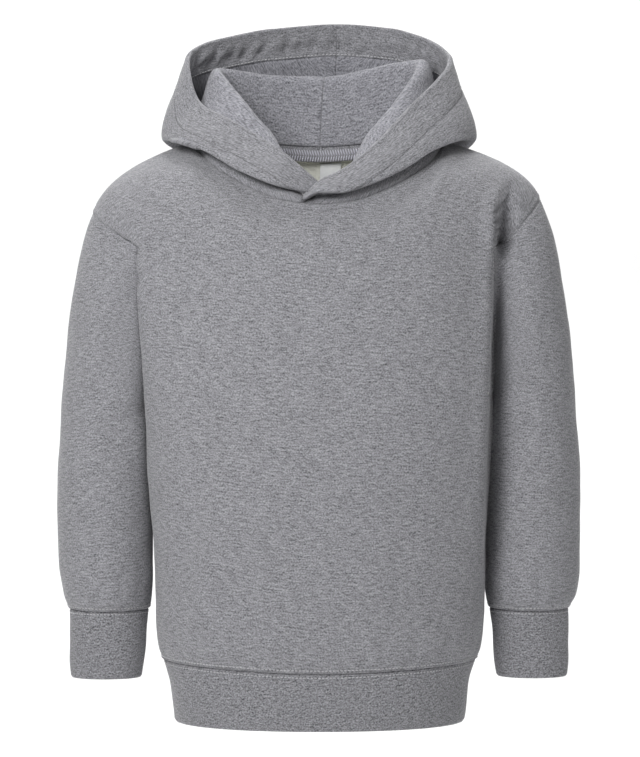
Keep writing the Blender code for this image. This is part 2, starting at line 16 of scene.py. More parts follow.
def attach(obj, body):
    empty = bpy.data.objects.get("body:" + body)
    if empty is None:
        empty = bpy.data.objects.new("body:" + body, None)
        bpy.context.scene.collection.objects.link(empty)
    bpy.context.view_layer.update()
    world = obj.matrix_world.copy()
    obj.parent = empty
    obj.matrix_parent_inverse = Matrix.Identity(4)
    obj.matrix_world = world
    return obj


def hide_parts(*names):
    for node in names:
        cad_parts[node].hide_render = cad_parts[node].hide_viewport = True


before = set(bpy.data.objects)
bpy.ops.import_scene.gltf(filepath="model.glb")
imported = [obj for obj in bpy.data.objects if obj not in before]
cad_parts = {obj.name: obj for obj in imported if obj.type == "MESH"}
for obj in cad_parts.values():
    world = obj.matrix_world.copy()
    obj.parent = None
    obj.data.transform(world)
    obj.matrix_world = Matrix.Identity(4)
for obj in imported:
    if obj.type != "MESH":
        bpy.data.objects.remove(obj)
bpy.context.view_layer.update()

# ---- cloth ----
FLEECE = 0.0020
JERSEY = 0.0010
RIB = 0.0022
LABEL_CLOTH = 0.0010
TINY = 1e-9  # keeps a share off its end and a direction off zero

# ---- heights ----
HEM_SEAM = -0.3630
HEM_BOTTOM = -0.4070
HEM_SEAM_DROP = 0.0045  # the hem seam hangs lower at the centre front and back
UNDERARM = -0.1750
CHEST = -0.0720  # the level where the armhole seam leaves the side of the chest
CUFF_SEAM = -0.3280
CUFF_BOTTOM = -0.3768
SLEEVE_LEVEL = -0.1900  # below this the sleeve's sections are level

# ---- armholes ----
ARMHOLE_DEPTH = 0.042  # how far the armhole seam lies from the side seam's plane
ARMHOLE_ROUNDNESS = 0.275  # small values square off the armhole's lower end
ARM_PRESS = 0.0030  # softness of the side where the sleeve rests on it
ARM_CLEARANCE = 0.0018  # between the body's side and the sleeve
PRESS_FROM = 0.05  # the body's middle is left alone
YOKE_TURN = 0.4  # share of the armhole's half that lies above the chest line
FOLD_FOOT = 0.1270  # where the valley between chest and sleeve reaches the chest line
FOLD_WIDTH = 0.0080
FOLD_TAIL = 0.02  # and how far below that line it ends
FOLD_SKIRT = 0.0120  # the valley fades out this near to the side seam's plane

# Each side's own values: the sleeve hangs further back on the wearer's left.
SIDES = {
    "left": {
        "sign": 1.0,
        "shoulder_point": (0.1585, 0.000, -0.0340),
        "shoulder_fall": (0.46, 0.0, -0.89),
        "arm_back": 0.008,
        "fold_depth": 0.0085,
        "fold_top": (0.1330, -0.0250),
    },
    "right": {
        "sign": -1.0,
        "shoulder_point": (0.1625, 0.000, -0.0455),
        "shoulder_fall": (0.30, 0.0, -0.95),
        "arm_back": 0.000,
        "fold_depth": 0.0040,
        "fold_top": (0.1380, -0.0560),
    },
}

# ---- neckline, by azimuth in degrees from the centre front ----
NECK_SIDE = 93.0  # azimuth where the shoulder seam meets the neckline
NECK_ACROSS = 0.72  # share of a panel's half top edge that is neckline

# ---- directions at the ends of yokes, shoulders and sleeve caps ----
SHOULDER_START = (0.93, 0.0, -0.27)  # the shoulder seam's, where it leaves the neckline
CAP_PULL = 1.00  # pull at the sleeve cap's ends, as a share of its length
CAP_SLANT = 0.08  # outward slant where the cap's outer side becomes the sleeve

# ---- hood ----
FRONT_EDGES = {"left": -11.0, "right": -13.0}  # azimuths of the two front ends
BACK_EDGE = 179.97  # azimuth of the hood's centre seam
FIRST_RISE = 0.007  # the hood stands up this far at its seam before it leans
ROLL_SAG = 0.15  # the roll hangs this share of its width below its named height
ROLL_TILT = 0.55  # at the sides its inner edge is higher, as the shoulder is
RIDGE_LIFT = 0.60  # and the ridge stands this share of its width above its own
FOLD_FROM, FOLD_TO = 30.0, 180.0  # azimuths over which the roll widens
FLAT_FROM, FLAT_OVER, FLATTEST = -11.0, 40.0, 0.12  # towards its front ends it flattens
RIDGE_WIDTHS = (0.0030, 0.0085)  # at the front and at the back
ROLL_WIDTHS = (0.0120, 0.0260)
OUTER_BULGES = (0.0030, 0.0200)
# Where the profile is guided between two named heights, as shares of the way.
FIRST_SHARE, LEAN_SHARE, FALL_SHARE, POUCH_SHARE, RIM_SHARE = 0.5, 0.6, 0.5, 0.40, 0.85
RIM_BULGE = 0.25  # share of the outer bulge that is left below the rim
LEAN = 0.0130  # the centre seam leans this far to the wearer's left at the rim
LEAN_FROM = 115.0  # azimuth from which the hood leans
LAP = 0.0045  # the right hood piece lies this far inside the left one
LAP_FADE = (-2.0, 26.0)  # azimuths over which that offset fades out

# ---- hood lining ----
LINING_FROM = {"left": 15.0, "right": 30.0}  # nearer the front the lapped ends are unlined
ROLL_RISE, ROLL_REACH = 0.69, 0.10  # where the roll's bottom lies along a hood profile

# ---- neck label: columns and rows of the back panel ----
LABEL_SHARE = (0.005, 0.124)
LABEL_RISES = (2.74, 2.97)

# ---- look: rows and columns of the cloth's grids, close together beside the seams ----
ARMHOLE_STEPS, ARMHOLE_SAMPLES = 48, 2001
PANEL_HEM_ROWS = (0, 0.003, 0.007, 0.012, 0.018, 0.026, 0.036)
PANEL_SIDE_ROWS = (0.05, 1, 70)
PANEL_YOKE_TO = 2.97
PANEL_TOP_ROWS = (2.975, 2.984, 2.991, 2.996, 3.0)
PANEL_COLUMNS = ((0, NECK_ACROSS, 45), (NECK_ACROSS, 0.965, 16))
PANEL_EDGE_COLUMNS = (0.975, 0.983, 0.989, 0.994, 0.9975, 1)
CAP_ROWS = (0, 0.006, 0.013, 0.022, 0.034)
SLEEVE_ROWS = ((0.05, 1, 43), (1, 1.95, 51))
SLEEVE_CUFF_ROWS = (1.965, 1.978, 1.988, 1.995, 2.0)
BAND_SEAM_ROWS = (0, 0.012, 0.028, 0.05, 0.08)
BAND_MIDDLE = (0.11, 0.93)
BAND_EDGE_ROWS = (0.95, 0.967, 0.981, 0.992, 1.0)
CUFF_STRIPS, CUFF_ROWS = 120, 18
HEM_STRIPS, HEM_BAND_ROWS = 280, 17
HOOD_STRIPS, HOOD_BACK_STRIPS = 112, 4
HOOD_BACK = 2.0  # degrees of closer columns beside the centre seam
HOOD_ROWS = ((0, 0.9, 84), (0.9, 1, 18))
LINING_ROWS = (0, 1, 100)
LABEL_COLUMNS, LABEL_ROWS = 15, 17
BEND_ROWS = 9
OUTER, ALLOWANCE_SLOT = 0, 2  # places in a cloth's list of materials

# ---- look: seams ----
ALLOWANCE = 0.0022  # cloth turned in at a seam
SEAM_SAMPLES = 600
CORNER_SAMPLES = 51  # of them an armhole's corner is spread over
NEAR_SIDE, NEAR_TOP, NEAR_HEM = 0.985, 2.97, 0.02  # a panel's lines just inside its edges
NEAR_CAP, NEAR_CUFF = 0.02, 1.98  # and a sleeve's
EDGE_ROLL = 0.0008  # width of the rounding at a seam
# How deep the cloth folds in at each kind of seam.
SEAM_DEPTHS = {"armhole": 0.0004, "side": 0.0007, "shoulder": 0.0006, "neck": 0.0008,
               "hem": 0.0006, "cuff": 0.0006, "edge": 0.0008, "centre": 0.0007}
SEAM_FADE = 0.0060  # creases fade out this near to a seam
ROUND_WIDTH = 0.0080  # the cloth is rounded this far from the armhole seam
SHOULDER_SHAVE = 0.0026  # the most that this takes off where the seam stands out
HOLLOW_FILL = {"left": 0.0, "right": 0.0026}  # and adds where it lies in a hollow
ARMHOLE_MIDDLE_DROP = 0.05  # the armhole's outside is judged from this far below its line
ARMHOLE_CENTRE_SAMPLES = 50
SHOULDER_LEAN, NECK_LEAN = 0.2, 0.3  # how far those seams face sideways and to the front or back
# How far the allowances inside lift the cloth between a seam and its stitch line.
SEAM_SWELLS = {"armhole": 0.0003, "cap": 0.0002, "neck": 0.0003, "gathered": 0.0007, "band": 0.0002}
DENT_WIDTH = 0.0008  # of the dent under a stitch line
STITCH_DENT = 0.00035
NECK_EASE = (0.032, 110)  # reach and passes of the smoothing beside the neck
CAP_EASE = (0.030, 60)  # and at the front and back of a sleeve's cap
CAP_EASE_AT = ((0.138, -0.050, -0.100), (0.140, 0.030, -0.100))
EASE_SHARE = 0.8  # that each pass moves a point towards its neighbours' middle

# ---- look: the hood's turned hem and its lining ----
HOOD_WALL = 0.0018
CREVICE, CREVICE_RISE = 0.0080, 0.42  # how far the hood's front sinks in under its roll, and up to where
CREVICE_END, CREVICE_FADE = 85, 30  # azimuth where that ends, and the degrees it fades over
RIM_RADIUS = 0.00195  # of the fold at the hood's rim
HEM_DEPTH = 0.0215  # of the hood's turned hem
HEM_SHARE = 0.80  # and its largest share of a short front profile
HEM_ROWS = np.array([0.06, 0.15, 0.25, 0.35, 0.45, 0.55, 0.65, 0.74, 0.82, 0.88, 0.93, 0.97, 1.0])
HEM_END_FADE = 0.16  # puckers fade out this near to the hem's edge, as a share of its depth
RIM_TROUGH, TROUGH_SPREAD = 0.0019, 0.16  # sag of the turned hem between its fold and its stitching
RIM_GROOVE, GROOVE_SPREAD = 0.0004, 0.03  # under the stitching inside the hem
STITCH_SHARE = 0.95  # where its stitching runs, as a share of its depth
STITCH_GROOVE = 0.0009
RIM_DENT = {"left": 0.0008, "right": 0.0004}
HEM_SEAM_DENT = 0.0016  # of the centre seam, on the inside of the turned hem
RIM_PUFF = 0.0006  # the double cloth of the hem stands out this much
LINING_TUCK = 0.0030  # the lining runs this far under the turned hem
LINING_OFFSET, TUCKED_OFFSET = 0.0024, 0.0001  # from the hood's outer face; from its wall, in the tuck
LINING_FOOT = 0.02  # it starts this close above the neck seam, as a share of its profile
LINING_SEAM = 0.0018  # depth of the lining's centre seam
RUFFLE_FADE = 0.0040  # ruffles start this far below the tuck
SETTLE_PASSES = 40  # of easing the lining out of the roll

# ---- look: folds between body and sleeves ----
FOLD_FRONT, FOLD_SOFTNESS = 0.012, 0.004  # folds lie in front of this Y
# The crisp fold beside the left sleeve: its X and its lift by depth below the neck.
FOLD_PATH = ((0.029, 0.040, 0.075, 0.151, 0.235, 0.311),
             (0.1307, 0.1262, 0.1235, 0.1203, 0.1170, 0.1155))
FOLD_LIFT = ((0.024, 0.036, 0.075, 0.200, 0.290, 0.330), (0.0, 0.0085, 0.0103, 0.0080, 0.0052, 0.0))
FOLD_EDGE, FOLD_REACH = 0.0012, 0.0090  # width of its crisp edge, and of the whole fold
FOLD_SINK = 0.5  # the sleeve side sinks by this share of the body side's lift
TROUGH = 1.2  # and a narrow trough beside the fold by this much more
TROUGH_AT, TROUGH_WIDTH = 0.0032, 0.0028
# The hollow in front of the right armpit is filled out this much, by depth below the neck.
FILL_X, FILL_REACH = -0.1270, 0.0105
FILL_LIFT = ((0.045, 0.080, 0.130, 0.190, 0.260), (0.0, 0.0070, 0.0070, 0.0040, 0.0))

# ---- look: creases ----
CLOTH_SHIFT = 0.371  # each piece is cut from its own place in the cloth
WAVES = ((0.042, 0.0012), (0.015, 0.00035))  # sizes and heights of the cloth's unevenness
CREASE_SHOULDER = 0.35  # a trough's raised sides, as a share of its depth
CREASE_SAMPLES = 24
CREASE_REACH = 5  # widths from a crease to where it stops counting
CREASE_ENDS, CREASE_TAPER = (0.03, 0.97), 0.7  # how a crease fades out towards its ends

# Creases, seen from the front: ends in X and Z, width, and height (troughs are negative).
PANEL_CREASES = {
    1: (
        (-0.070, -0.196, -0.102, -0.310, 0.0140, -0.0025),
        (-0.063, -0.227, -0.086, -0.344, 0.0140, 0.0020),
        (-0.051, -0.289, -0.060, -0.354, 0.0120, -0.0015),
        (0.069, -0.130, 0.055, -0.344, 0.0250, -0.0015),
        (0.092, -0.215, 0.080, -0.345, 0.0160, -0.0016),
        (0.020, -0.270, 0.012, -0.350, 0.0140, -0.0009),
    ),
    -1: (
        (-0.085, -0.150, -0.060, -0.320, 0.0180, -0.0022),
        (-0.030, -0.220, -0.040, -0.348, 0.0140, -0.0015),
        (0.018, -0.120, 0.030, -0.300, 0.0200, -0.0014),
        (0.075, -0.185, 0.092, -0.335, 0.0160, -0.0024),
        (0.050, -0.260, 0.060, -0.350, 0.0120, 0.0014),
    ),
}
# Creases on a sleeve: ends as turn and fall, width, height.
SLEEVE_CREASES = {
    "left": (
        (0.36, 0.68, 0.14, 0.92, 0.0110, -0.0020),
        (0.42, 1.02, 0.22, 1.18, 0.0090, -0.0013),
        (0.05, 1.34, 0.30, 1.58, 0.0110, -0.0019),
        (0.60, 0.75, 0.85, 0.98, 0.0120, -0.0022),
        (0.62, 1.15, 0.88, 1.30, 0.0100, -0.0018),
        (0.55, 1.50, 0.80, 1.66, 0.0100, -0.0015),
    ),
    "right": (
        (0.44, 0.92, 0.22, 1.10, 0.0110, -0.0022),
        (0.12, 1.25, 0.32, 1.42, 0.0100, -0.0013),
        (0.40, 1.52, 0.20, 1.70, 0.0100, -0.0012),
        (0.58, 0.80, 0.84, 1.02, 0.0120, -0.0022),
        (0.90, 1.20, 0.64, 1.36, 0.0100, -0.0017),
        (0.60, 1.52, 0.82, 1.70, 0.0100, -0.0015),
    ),
}
# Creases on a hood piece: ends as azimuth and rise, width, height.
HOOD_CREASES = {
    "left": (
        (60, 0.72, 95, 0.84, 0.0090, -0.0012),
        (115, 0.70, 140, 0.86, 0.0110, -0.0016),
        (150, 0.66, 165, 0.84, 0.0120, -0.0014),
    ),
    "right": (
        (55, 0.74, 88, 0.82, 0.0090, -0.0010),
        (108, 0.72, 132, 0.88, 0.0110, -0.0014),
        (145, 0.68, 168, 0.82, 0.0120, -0.0016),
    ),
}
# Gathers along an edge: the stretch they fill, then the ranges of their slants, tops,
# widths, heights and spacings. Ruffles and puckers also have a range for their feet.
HEM_GATHERS = {
    "stretch": (-0.93, 0.93), "slant": (-0.03, 0.03), "top": (0.07, 0.19),
    "width": (0.0035, 0.0065), "height": (0.0004, 0.0012), "spacing": (0.06, 0.17),
}
SLEEVE_GATHERS = {
    "stretch": (0.02, 0.98), "slant": (-0.02, 0.02), "top": (0.10, 0.28),
    "width": (0.003, 0.0055), "height": (0.0005, 0.0013), "spacing": (0.035, 0.085),
}
LINING_RUFFLES = {
    "stretch": (60.0, 176), "foot": (0.890, 0.905), "slant": (-4.0, 4.0), "top": (0.800, 0.860),
    "width": (0.0024, 0.0042), "height": (0.0014, 0.0030), "spacing": (3.5, 8.0),
}
RIM_PUCKERS = {
    "stretch": (100.0, 176), "foot": (0.78, 0.92), "top": (0.15, 0.50), "slant": (1.0, 5.0),
    "width": (0.0024, 0.0040), "height": (0.0016, 0.0038), "spacing": (3.0, 7.5),
}
SEEDS = {"hem": {1: 31, -1: 32}, "sleeve": {"left": 41, "right": 42},
         "rim": {"left": 51, "right": 52}, "lining": {"left": 61, "right": 62}}

# ---- look: stitches ----
SLEEVE_ROW = 0.0014  # distances of the rows from their seams
PANEL_ROW = 0.0054
ABOVE_ROW = 0.0030
BELOW_ROW = 0.0025
# The rows and columns of the cloth towards which a stitch line lies from its seam.
ROW_INSIDES = {"cap": 0.12, "side": 0.93, "top": 2.8, "cloth": 0.08, "band": 0.4}
ARMHOLE_ROWS = {1: (0.002, 0.47), -1: (0.53, 0.998)}  # the turns that a panel's row runs over
SLEEVE_ROW_TURNS = (0.002, 0.998)
NECK_ROW_SHARE = 0.99
HOOD_ROW_INSET = 3  # degrees from the front end to the row outside
ROW_SAMPLES = {"sleeve": 500, "panel": 250, "neck": 400, "cuff": 400, "hem": 600, "hood": 300}
ROW_STITCH = (0.0027, 0.0018, 0.00050, 0.00040)  # spacing, length, width, height
BAND_STITCH = (0.0026, 0.0018, 0.00070, 0.00050)
RIM_STITCH = (0.0028, 0.0020, 0.00065, 0.00050)
THREAD_SECTIONS = ((-0.5, 0.35), (-0.3, 0.9), (0.0, 1.0), (0.3, 0.9), (0.5, 0.35))  # place, size
THREAD_ANGLES = (0, 60, 120, 180, 270)
THREAD_UNDERSIDE = -0.3  # a stitch sinks this share of its height into the cloth
THREAD_LIFT = 0.00005
SERGED_TO = 95  # azimuth either side of the back where the overlocked edge ends
SERGED_INSET = 0.0050  # from the neck seam
SERGED_STRIP = (-0.0077, 0.0010)  # heights of the edge's cloth
SERGED_CLOTH = 0.0006  # its wall
SERGED_ROWS = ((-0.0012, 0.0046, 0.35), (-0.0055, 0.0042, -0.25))  # heights, lengths, slants of loops
SERGE_SPACING, SERGE_WIDTH, SERGE_HEIGHT = 0.0019, 0.0011, 0.0008
SERGED_SAMPLES = 400
LABEL_OFFSET, LABEL_BOW = 0.0028, 0.0006
LABEL_DROP = 0.066  # it hangs this much lower, as a share of the yoke, below its stitching
LABEL_WALL = 0.6  # its wall, as a share of its solid's

# ---- look: cloths: dark and light colour; streak, fleck and mottle as (across, up, weight,
# detail); nap as (across, up, depth, strength); sheen weight; roughness ----
CLOTHS = {
    "heather_fleece": (
        (0.050, 0.050, 0.055), (0.470, 0.470, 0.500),
        (0.0062, 0.0012, 0.85, 1.0), (0.0012, 0.0011, 1.25, 1.0), (0.020, 0.012, 0.14, 1.0),
        (0.0010, 0.0008, 0.0003, 0.6), 0.25, 0.95,
    ),
    "brushed_inside": (
        (0.84, 0.84, 0.76), (0.97, 0.97, 0.90),
        (0.0030, 0.0030, 0.6, 2.0), (0.0008, 0.0008, 0.6, 2.0), (0.012, 0.012, 0.4, 1.0),
        (0.0012, 0.0012, 0.0008, 0.8), 0.40, 1.00,
    ),
    "lining_jersey": (
        (0.060, 0.060, 0.070), (0.500, 0.500, 0.545),
        (0.0058, 0.0013, 0.90, 1.0), (0.0013, 0.0013, 1.30, 1.0), (0.016, 0.012, 0.18, 1.0),
        (0.0008, 0.0010, 0.0003, 0.5), 0.20, 0.92,
    ),
    "heather_rib": (
        (0.045, 0.045, 0.050), (0.415, 0.415, 0.440),
        (0.0045, 0.0011, 0.95, 1.0), (0.0012, 0.0011, 1.55, 1.0), (0.010, 0.008, 0.12, 1.0),
        (0.0008, 0.0010, 0.0003, 0.6), 0.22, 0.95,
    ),
    "label_satin": (
        (0.93, 0.95, 0.97), (0.97, 0.98, 1.00),
        (0.0010, 0.0003, 0.6, 1.0), (0.0004, 0.0004, 0.5, 1.0), (0.010, 0.010, 0.3, 1.0),
        (0.0006, 0.0004, 0.0001, 0.4), 0.10, 0.55,
    ),
}
THREADS = {
    "pale_thread": (0.74, 0.74, 0.76),
    "mid_thread": (0.62, 0.62, 0.64),
    "grey_thread": (0.22, 0.22, 0.23),
    "lilac_thread": (0.66, 0.65, 0.74),
}
LATTICE_TURN = 0.6  # turns the noise's own grid out of the cloth's directions
NAP_DETAIL, NOISE_ROUGHNESS = 3.0, 0.5
CLOTH_SPECULAR, SHEEN_ROUGHNESS = 0.15, 0.6
THREAD_ROUGHNESS, THREAD_SHADE = 0.65, 0.75
THREAD_GRAIN = (900.0, 1.0)  # scale and detail

# ---- look: stage ----
FLOOR = -0.80
FLOOR_FRONT, FLOOR_TURN, WALL_Y, WALL_TOP = -3.0, 1.2, 2.0, 3.5
WALL_HALF, WALL_BEND, WALL_STRIPS = 4.0, 0.8, 24
PAPER = ((0.90, 0.90, 0.90), (0.93, 0.93, 0.93))
PAPER_GRAIN = (3.0, 2.0)
PAPER_ROUGHNESS = 0.95
VIEW_DISTANCE, VIEW_HEIGHT, VIEW_LEVEL = 2.0, 0.542, -0.1636
VIEW_ACROSS = 0.00036  # the view's middle lies this far to +X
WORLD_LIGHT = 0.23
LIGHTS = (  # name, place, target, size, power
    ("key", (-0.50, -1.10, 0.44), (0, 0, -0.10), 0.6, 12.6),
    ("fill", (0.9, -2.4, 0.9), (0, 0, -0.10), 1.6, 6.0),
    ("back_wall", (0, 1.0, 2.4), (0, 3.0, 0.4), 2.0, 88.0),
)


class Sections:
    """A table with named columns and a row for each section, read on smooth curves."""

    def __init__(self, columns, rows, flat_start=False, flat_end=False):
        values = np.array(rows, dtype=float)
        self.keys = values[:, 0]
        self.columns = dict(zip(columns, values.T))
        self.flat_start, self.flat_end = flat_start, flat_end

    def at(self, name, where):
        """The column's value at a key, on a curve that never overshoots its rows."""
        keys, values = self.keys, self.columns[name]
        step = np.diff(keys)
        slope = np.diff(values) / step
        tangent = np.zeros(len(keys))
        same = slope[1:] * slope[:-1] > 0
        mean = 2 * slope[1:] * slope[:-1] / np.where(same, slope[1:] + slope[:-1], 1)
        tangent[1:-1] = np.where(same, mean, 0)
        tangent[0] = 0 if self.flat_start else slope[0]
        tangent[-1] = 0 if self.flat_end else slope[-1]
        where = np.clip(where, keys[0], keys[-1])
        row = np.clip(np.searchsorted(keys, where) - 1, 0, len(step) - 1)
        t = (where - keys[row]) / step[row]
        return hermite(
            values[row], tangent[row] * step[row], values[row + 1], tangent[row + 1] * step[row], t
        )


def hermite(start, start_pull, end, end_pull, t):
    """The cubic from start to end with the given pulls at its ends."""
    return (
        start * (1 + 2 * t) * (1 - t) ** 2
        + start_pull * t * (1 - t) ** 2
        + end * t * t * (3 - 2 * t)
        - end_pull * t * t * (1 - t)
    )


def mix(low, high, share):
    return low + (high - low) * share


def unit(vector):
    return vector / np.linalg.norm(vector, axis=-1, keepdims=True)


BODY = Sections(
    ("height", "centre_x", "half_width", "front", "back", "squareness"),
    (
        (-0.3630, 0.0000, 0.1120, 0.0775, 0.0765, 2.25),
        (-0.3550, 0.0000, 0.1150, 0.0820, 0.0800, 2.30),
        (-0.3400, 0.0000, 0.1172, 0.0860, 0.0835, 2.35),
        (-0.3000, 0.0000, 0.1190, 0.0885, 0.0850, 2.40),
        (-0.2400, 0.0000, 0.1230, 0.0880, 0.0845, 2.50),
        (-0.1850, -0.0010, 0.1275, 0.0860, 0.0835, 2.60),
        (-0.1300, -0.0020, 0.1320, 0.0830, 0.0825, 2.70),
        (-0.0720, -0.0040, 0.1370, 0.0745, 0.0800, 2.70),
    ),
)

SLEEVE = Sections(
    ("height", "inner", "outer", "half_depth"),
    (
        (-0.3280, 0.1222, 0.1787, 0.0290),
        (-0.3245, 0.1205, 0.1808, 0.0330),
        (-0.3180, 0.1195, 0.1836, 0.0360),
        (-0.3000, 0.1188, 0.1860, 0.0385),
        (-0.2360, 0.1190, 0.1877, 0.0405),
        (-0.1900, 0.1160, 0.1848, 0.0435),
        (-0.1300, 0.1090, 0.1785, 0.0450),
        (-0.0720, 0.1040, 0.1690, 0.0450),
    ),
)

CUFF = Sections(
    ("height", "inner", "outer", "half_depth"),
    (
        (-0.3768, 0.1272, 0.1778, 0.0225),
        (-0.3600, 0.1255, 0.1790, 0.0240),
        (-0.3400, 0.1235, 0.1790, 0.0260),
        (-0.3280, 0.1222, 0.1787, 0.0280),
    ),
)

HEM = Sections(
    ("height", "half_width", "front", "back", "squareness"),
    (
        (-0.4070, 0.1035, 0.0775, 0.0755, 2.20),
        (-0.3950, 0.1052, 0.0785, 0.0765, 2.20),
        (-0.3800, 0.1068, 0.0785, 0.0765, 2.25),
        (-0.3630, 0.1115, 0.0770, 0.0760, 2.25),
    ),
)

NECK = Sections(
    ("azimuth", "radius", "height"),
    (
        (0.0, 0.0560, -0.0420),
        (24.0, 0.0590, -0.0395),
        (43.0, 0.0660, -0.0320),
        (58.0, 0.0745, -0.0220),
        (74.0, 0.0840, -0.0085),
        (93.0, 0.0890, 0.0075),
        (118.0, 0.0800, 0.0090),
        (140.0, 0.0680, 0.0060),
        (180.0, 0.0580, 0.0030),
    ),
    flat_start=True,
    flat_end=True,
)

# How the front and back panels run up from the chest and arrive at their top edge,
# as directions, by the share of the panel's half width.
YOKE = Sections(
    ("across", "start_x", "start_y", "start_z", "end_x", "end_y", "end_z"),
    (
        (0.00, 0.00, 0.16, 1.00, 0.00, 0.45, 0.89),
        (0.35, 0.00, 0.16, 1.00, -0.22, 0.60, 0.75),
        (0.60, 0.02, 0.12, 1.00, -0.30, 0.80, 0.42),
        (0.72, 0.06, 0.10, 1.00, -0.22, 0.96, 0.12),
        (0.86, 0.20, 0.08, 1.00, 0.00, 1.00, 0.03),
        (1.00, 0.90, 0.10, 0.46, 0.00, 1.00, 0.00),
    ),
)
YOKE_PULL = 1.05  # pull at the yoke's ends, as a share of its length

# Hood profiles, by azimuth in degrees: from the neck seam up to the ridge, down to
# the roll, which at the back is the hanging pouch, and up to the rim.
HOOD_COLUMNS = (
    "azimuth", "ridge_out", "ridge_height", "roll_out", "roll_height", "rim_out", "rim_height",
)
HOODS = {
    "left": Sections(
        HOOD_COLUMNS,
        (
            (-11.0, 0.0585, -0.0395, 0.0610, -0.0395, 0.0612, -0.0375),
            (0.0, 0.0590, -0.0345, 0.0665, -0.0340, 0.0622, -0.0270),
            (13.0, 0.0590, -0.0325, 0.0675, -0.0340, 0.0600, -0.0205),
            (30.0, 0.0535, -0.0180, 0.0710, -0.0290, 0.0605, -0.0085),
            (48.0, 0.0520, 0.0010, 0.0800, -0.0195, 0.0630, 0.0070),
            (66.0, 0.0550, 0.0170, 0.0925, -0.0050, 0.0700, 0.0260),
            (84.0, 0.0590, 0.0320, 0.1110, 0.0035, 0.0870, 0.0490),
            (95.0, 0.0660, 0.0430, 0.1165, 0.0040, 0.0960, 0.0610),
            (106.0, 0.0755, 0.0545, 0.1175, 0.0018, 0.0995, 0.0705),
            (118.0, 0.0835, 0.0630, 0.1180, -0.0065, 0.0985, 0.0805),
            (132.0, 0.0800, 0.0630, 0.1170, -0.0220, 0.0960, 0.0885),
            (150.0, 0.0740, 0.0595, 0.1120, -0.0460, 0.0925, 0.0955),
            (180.0, 0.0700, 0.0530, 0.1060, -0.0640, 0.0880, 0.0995),
        ),
        flat_end=True,
    ),
    "right": Sections(
        HOOD_COLUMNS,
        (
            (-13.0, 0.0508, -0.0400, 0.0516, -0.0395, 0.0516, -0.0385),
            (0.0, 0.0508, -0.0370, 0.0526, -0.0345, 0.0520, -0.0280),
            (13.0, 0.0515, -0.0330, 0.0560, -0.0330, 0.0540, -0.0175),
            (30.0, 0.0530, -0.0170, 0.0710, -0.0285, 0.0580, -0.0040),
            (48.0, 0.0515, 0.0020, 0.0800, -0.0190, 0.0610, 0.0065),
            (66.0, 0.0545, 0.0190, 0.0925, -0.0050, 0.0735, 0.0195),
            (84.0, 0.0600, 0.0350, 0.1110, 0.0035, 0.0880, 0.0325),
            (95.0, 0.0670, 0.0440, 0.1165, 0.0040, 0.0970, 0.0575),
            (106.0, 0.0765, 0.0535, 0.1175, 0.0018, 0.1000, 0.0710),
            (118.0, 0.0830, 0.0575, 0.1180, -0.0065, 0.0950, 0.0810),
            (132.0, 0.0770, 0.0560, 0.1170, -0.0220, 0.0905, 0.0875),
            (150.0, 0.0720, 0.0540, 0.1120, -0.0460, 0.0875, 0.0945),
            (180.0, 0.0700, 0.0530, 0.1060, -0.0640, 0.0880, 0.0995),
        ),
        flat_end=True,
    ),
}


# ---------------------------------------------------------------- body
def drop(angle):
    """How far the hem seam hangs below its level at the sides."""
    return HEM_SEAM_DROP * np.cos(angle) ** 2


def sleeve_side(side, y, height):
    """Distance from the middle to the sleeve's inner face, where it lies by the body."""
    inner, outer = SLEEVE.at("inner", height), SLEEVE.at("outer", height)
    half = (outer - inner) / 2
    offset = (y - SIDES[side]["arm_back"]) / SLEEVE.at("half_depth", height)
    return inner + half * (1 - np.sqrt(np.clip(1 - offset**2, 0, 1))) - ARM_CLEARANCE


def press(x, y, height):
    """The body's side, pushed in softly where a sleeve rests against it."""
    for side, values in SIDES.items():
        sign = values["sign"]
        limit = sleeve_side(side, y, height)
        near = x * sign
        softer = -ARM_PRESS * np.logaddexp(-near / ARM_PRESS, -limit / ARM_PRESS)
        x = np.where(near > PRESS_FROM, softer * sign, x)
    return x


def superellipse(table, height, angle):
    """A level section; the angle is 0 at the centre front and grows towards +X."""
    power = table.at("squareness", height)
    across = np.abs(np.sin(angle)) / table.at("half_width", height)
    depth = np.where(np.cos(angle) > 0, table.at("front", height), table.at("back", height))
    radius = (across**power + (np.abs(np.cos(angle)) / depth) ** power) ** (-1 / power)
    return radius * np.sin(angle), -radius * np.cos(angle)


def body_ring(height, angle):
    x, y = superellipse(BODY, height, angle)
    x = press(x + BODY.at("centre_x", height), y, height)
    fade = np.clip((height - HEM_SEAM) / (UNDERARM - HEM_SEAM), 0, 1)
    z = height - drop(angle) * (1 - fade) ** 2
    return np.stack(np.broadcast_arrays(x, y, z), -1)


def armhole_reach(height):
    """How far in front of the side seam's plane the armhole seam lies at a height."""
    share = np.clip((height - CHEST) / (UNDERARM - CHEST), 0, 1)
    return ARMHOLE_DEPTH * (1 - share**2) ** ARMHOLE_ROUNDNESS


def edge_angle(height, facing):
    """The section angle of a panel's edge: its side seam or, higher up, its armhole."""
    reach = np.where(height > UNDERARM, armhole_reach(height), 0)
    depth = BODY.at("front" if facing > 0 else "back", height)
    power = BODY.at("squareness", height)
    x = BODY.at("half_width", height) * (1 - (reach / depth) ** power) ** (1 / power)
    return np.arctan2(x, reach)


def lower_panel(facing, across, height):
    """The panel below the chest line; across runs from -1 to 1, side to side."""
    angle = across * edge_angle(height, facing)
    return body_ring(height, angle if facing > 0 else math.pi - angle)


def neck_point(azimuth):
    """A point of the neckline; the azimuth in degrees is 0 in front, positive at +X."""
    turn = np.radians(azimuth)
    radius, height = NECK.at("radius", np.abs(azimuth)), NECK.at("height", np.abs(azimuth))
    return np.stack([radius * np.sin(turn), -radius * np.cos(turn), height], -1)


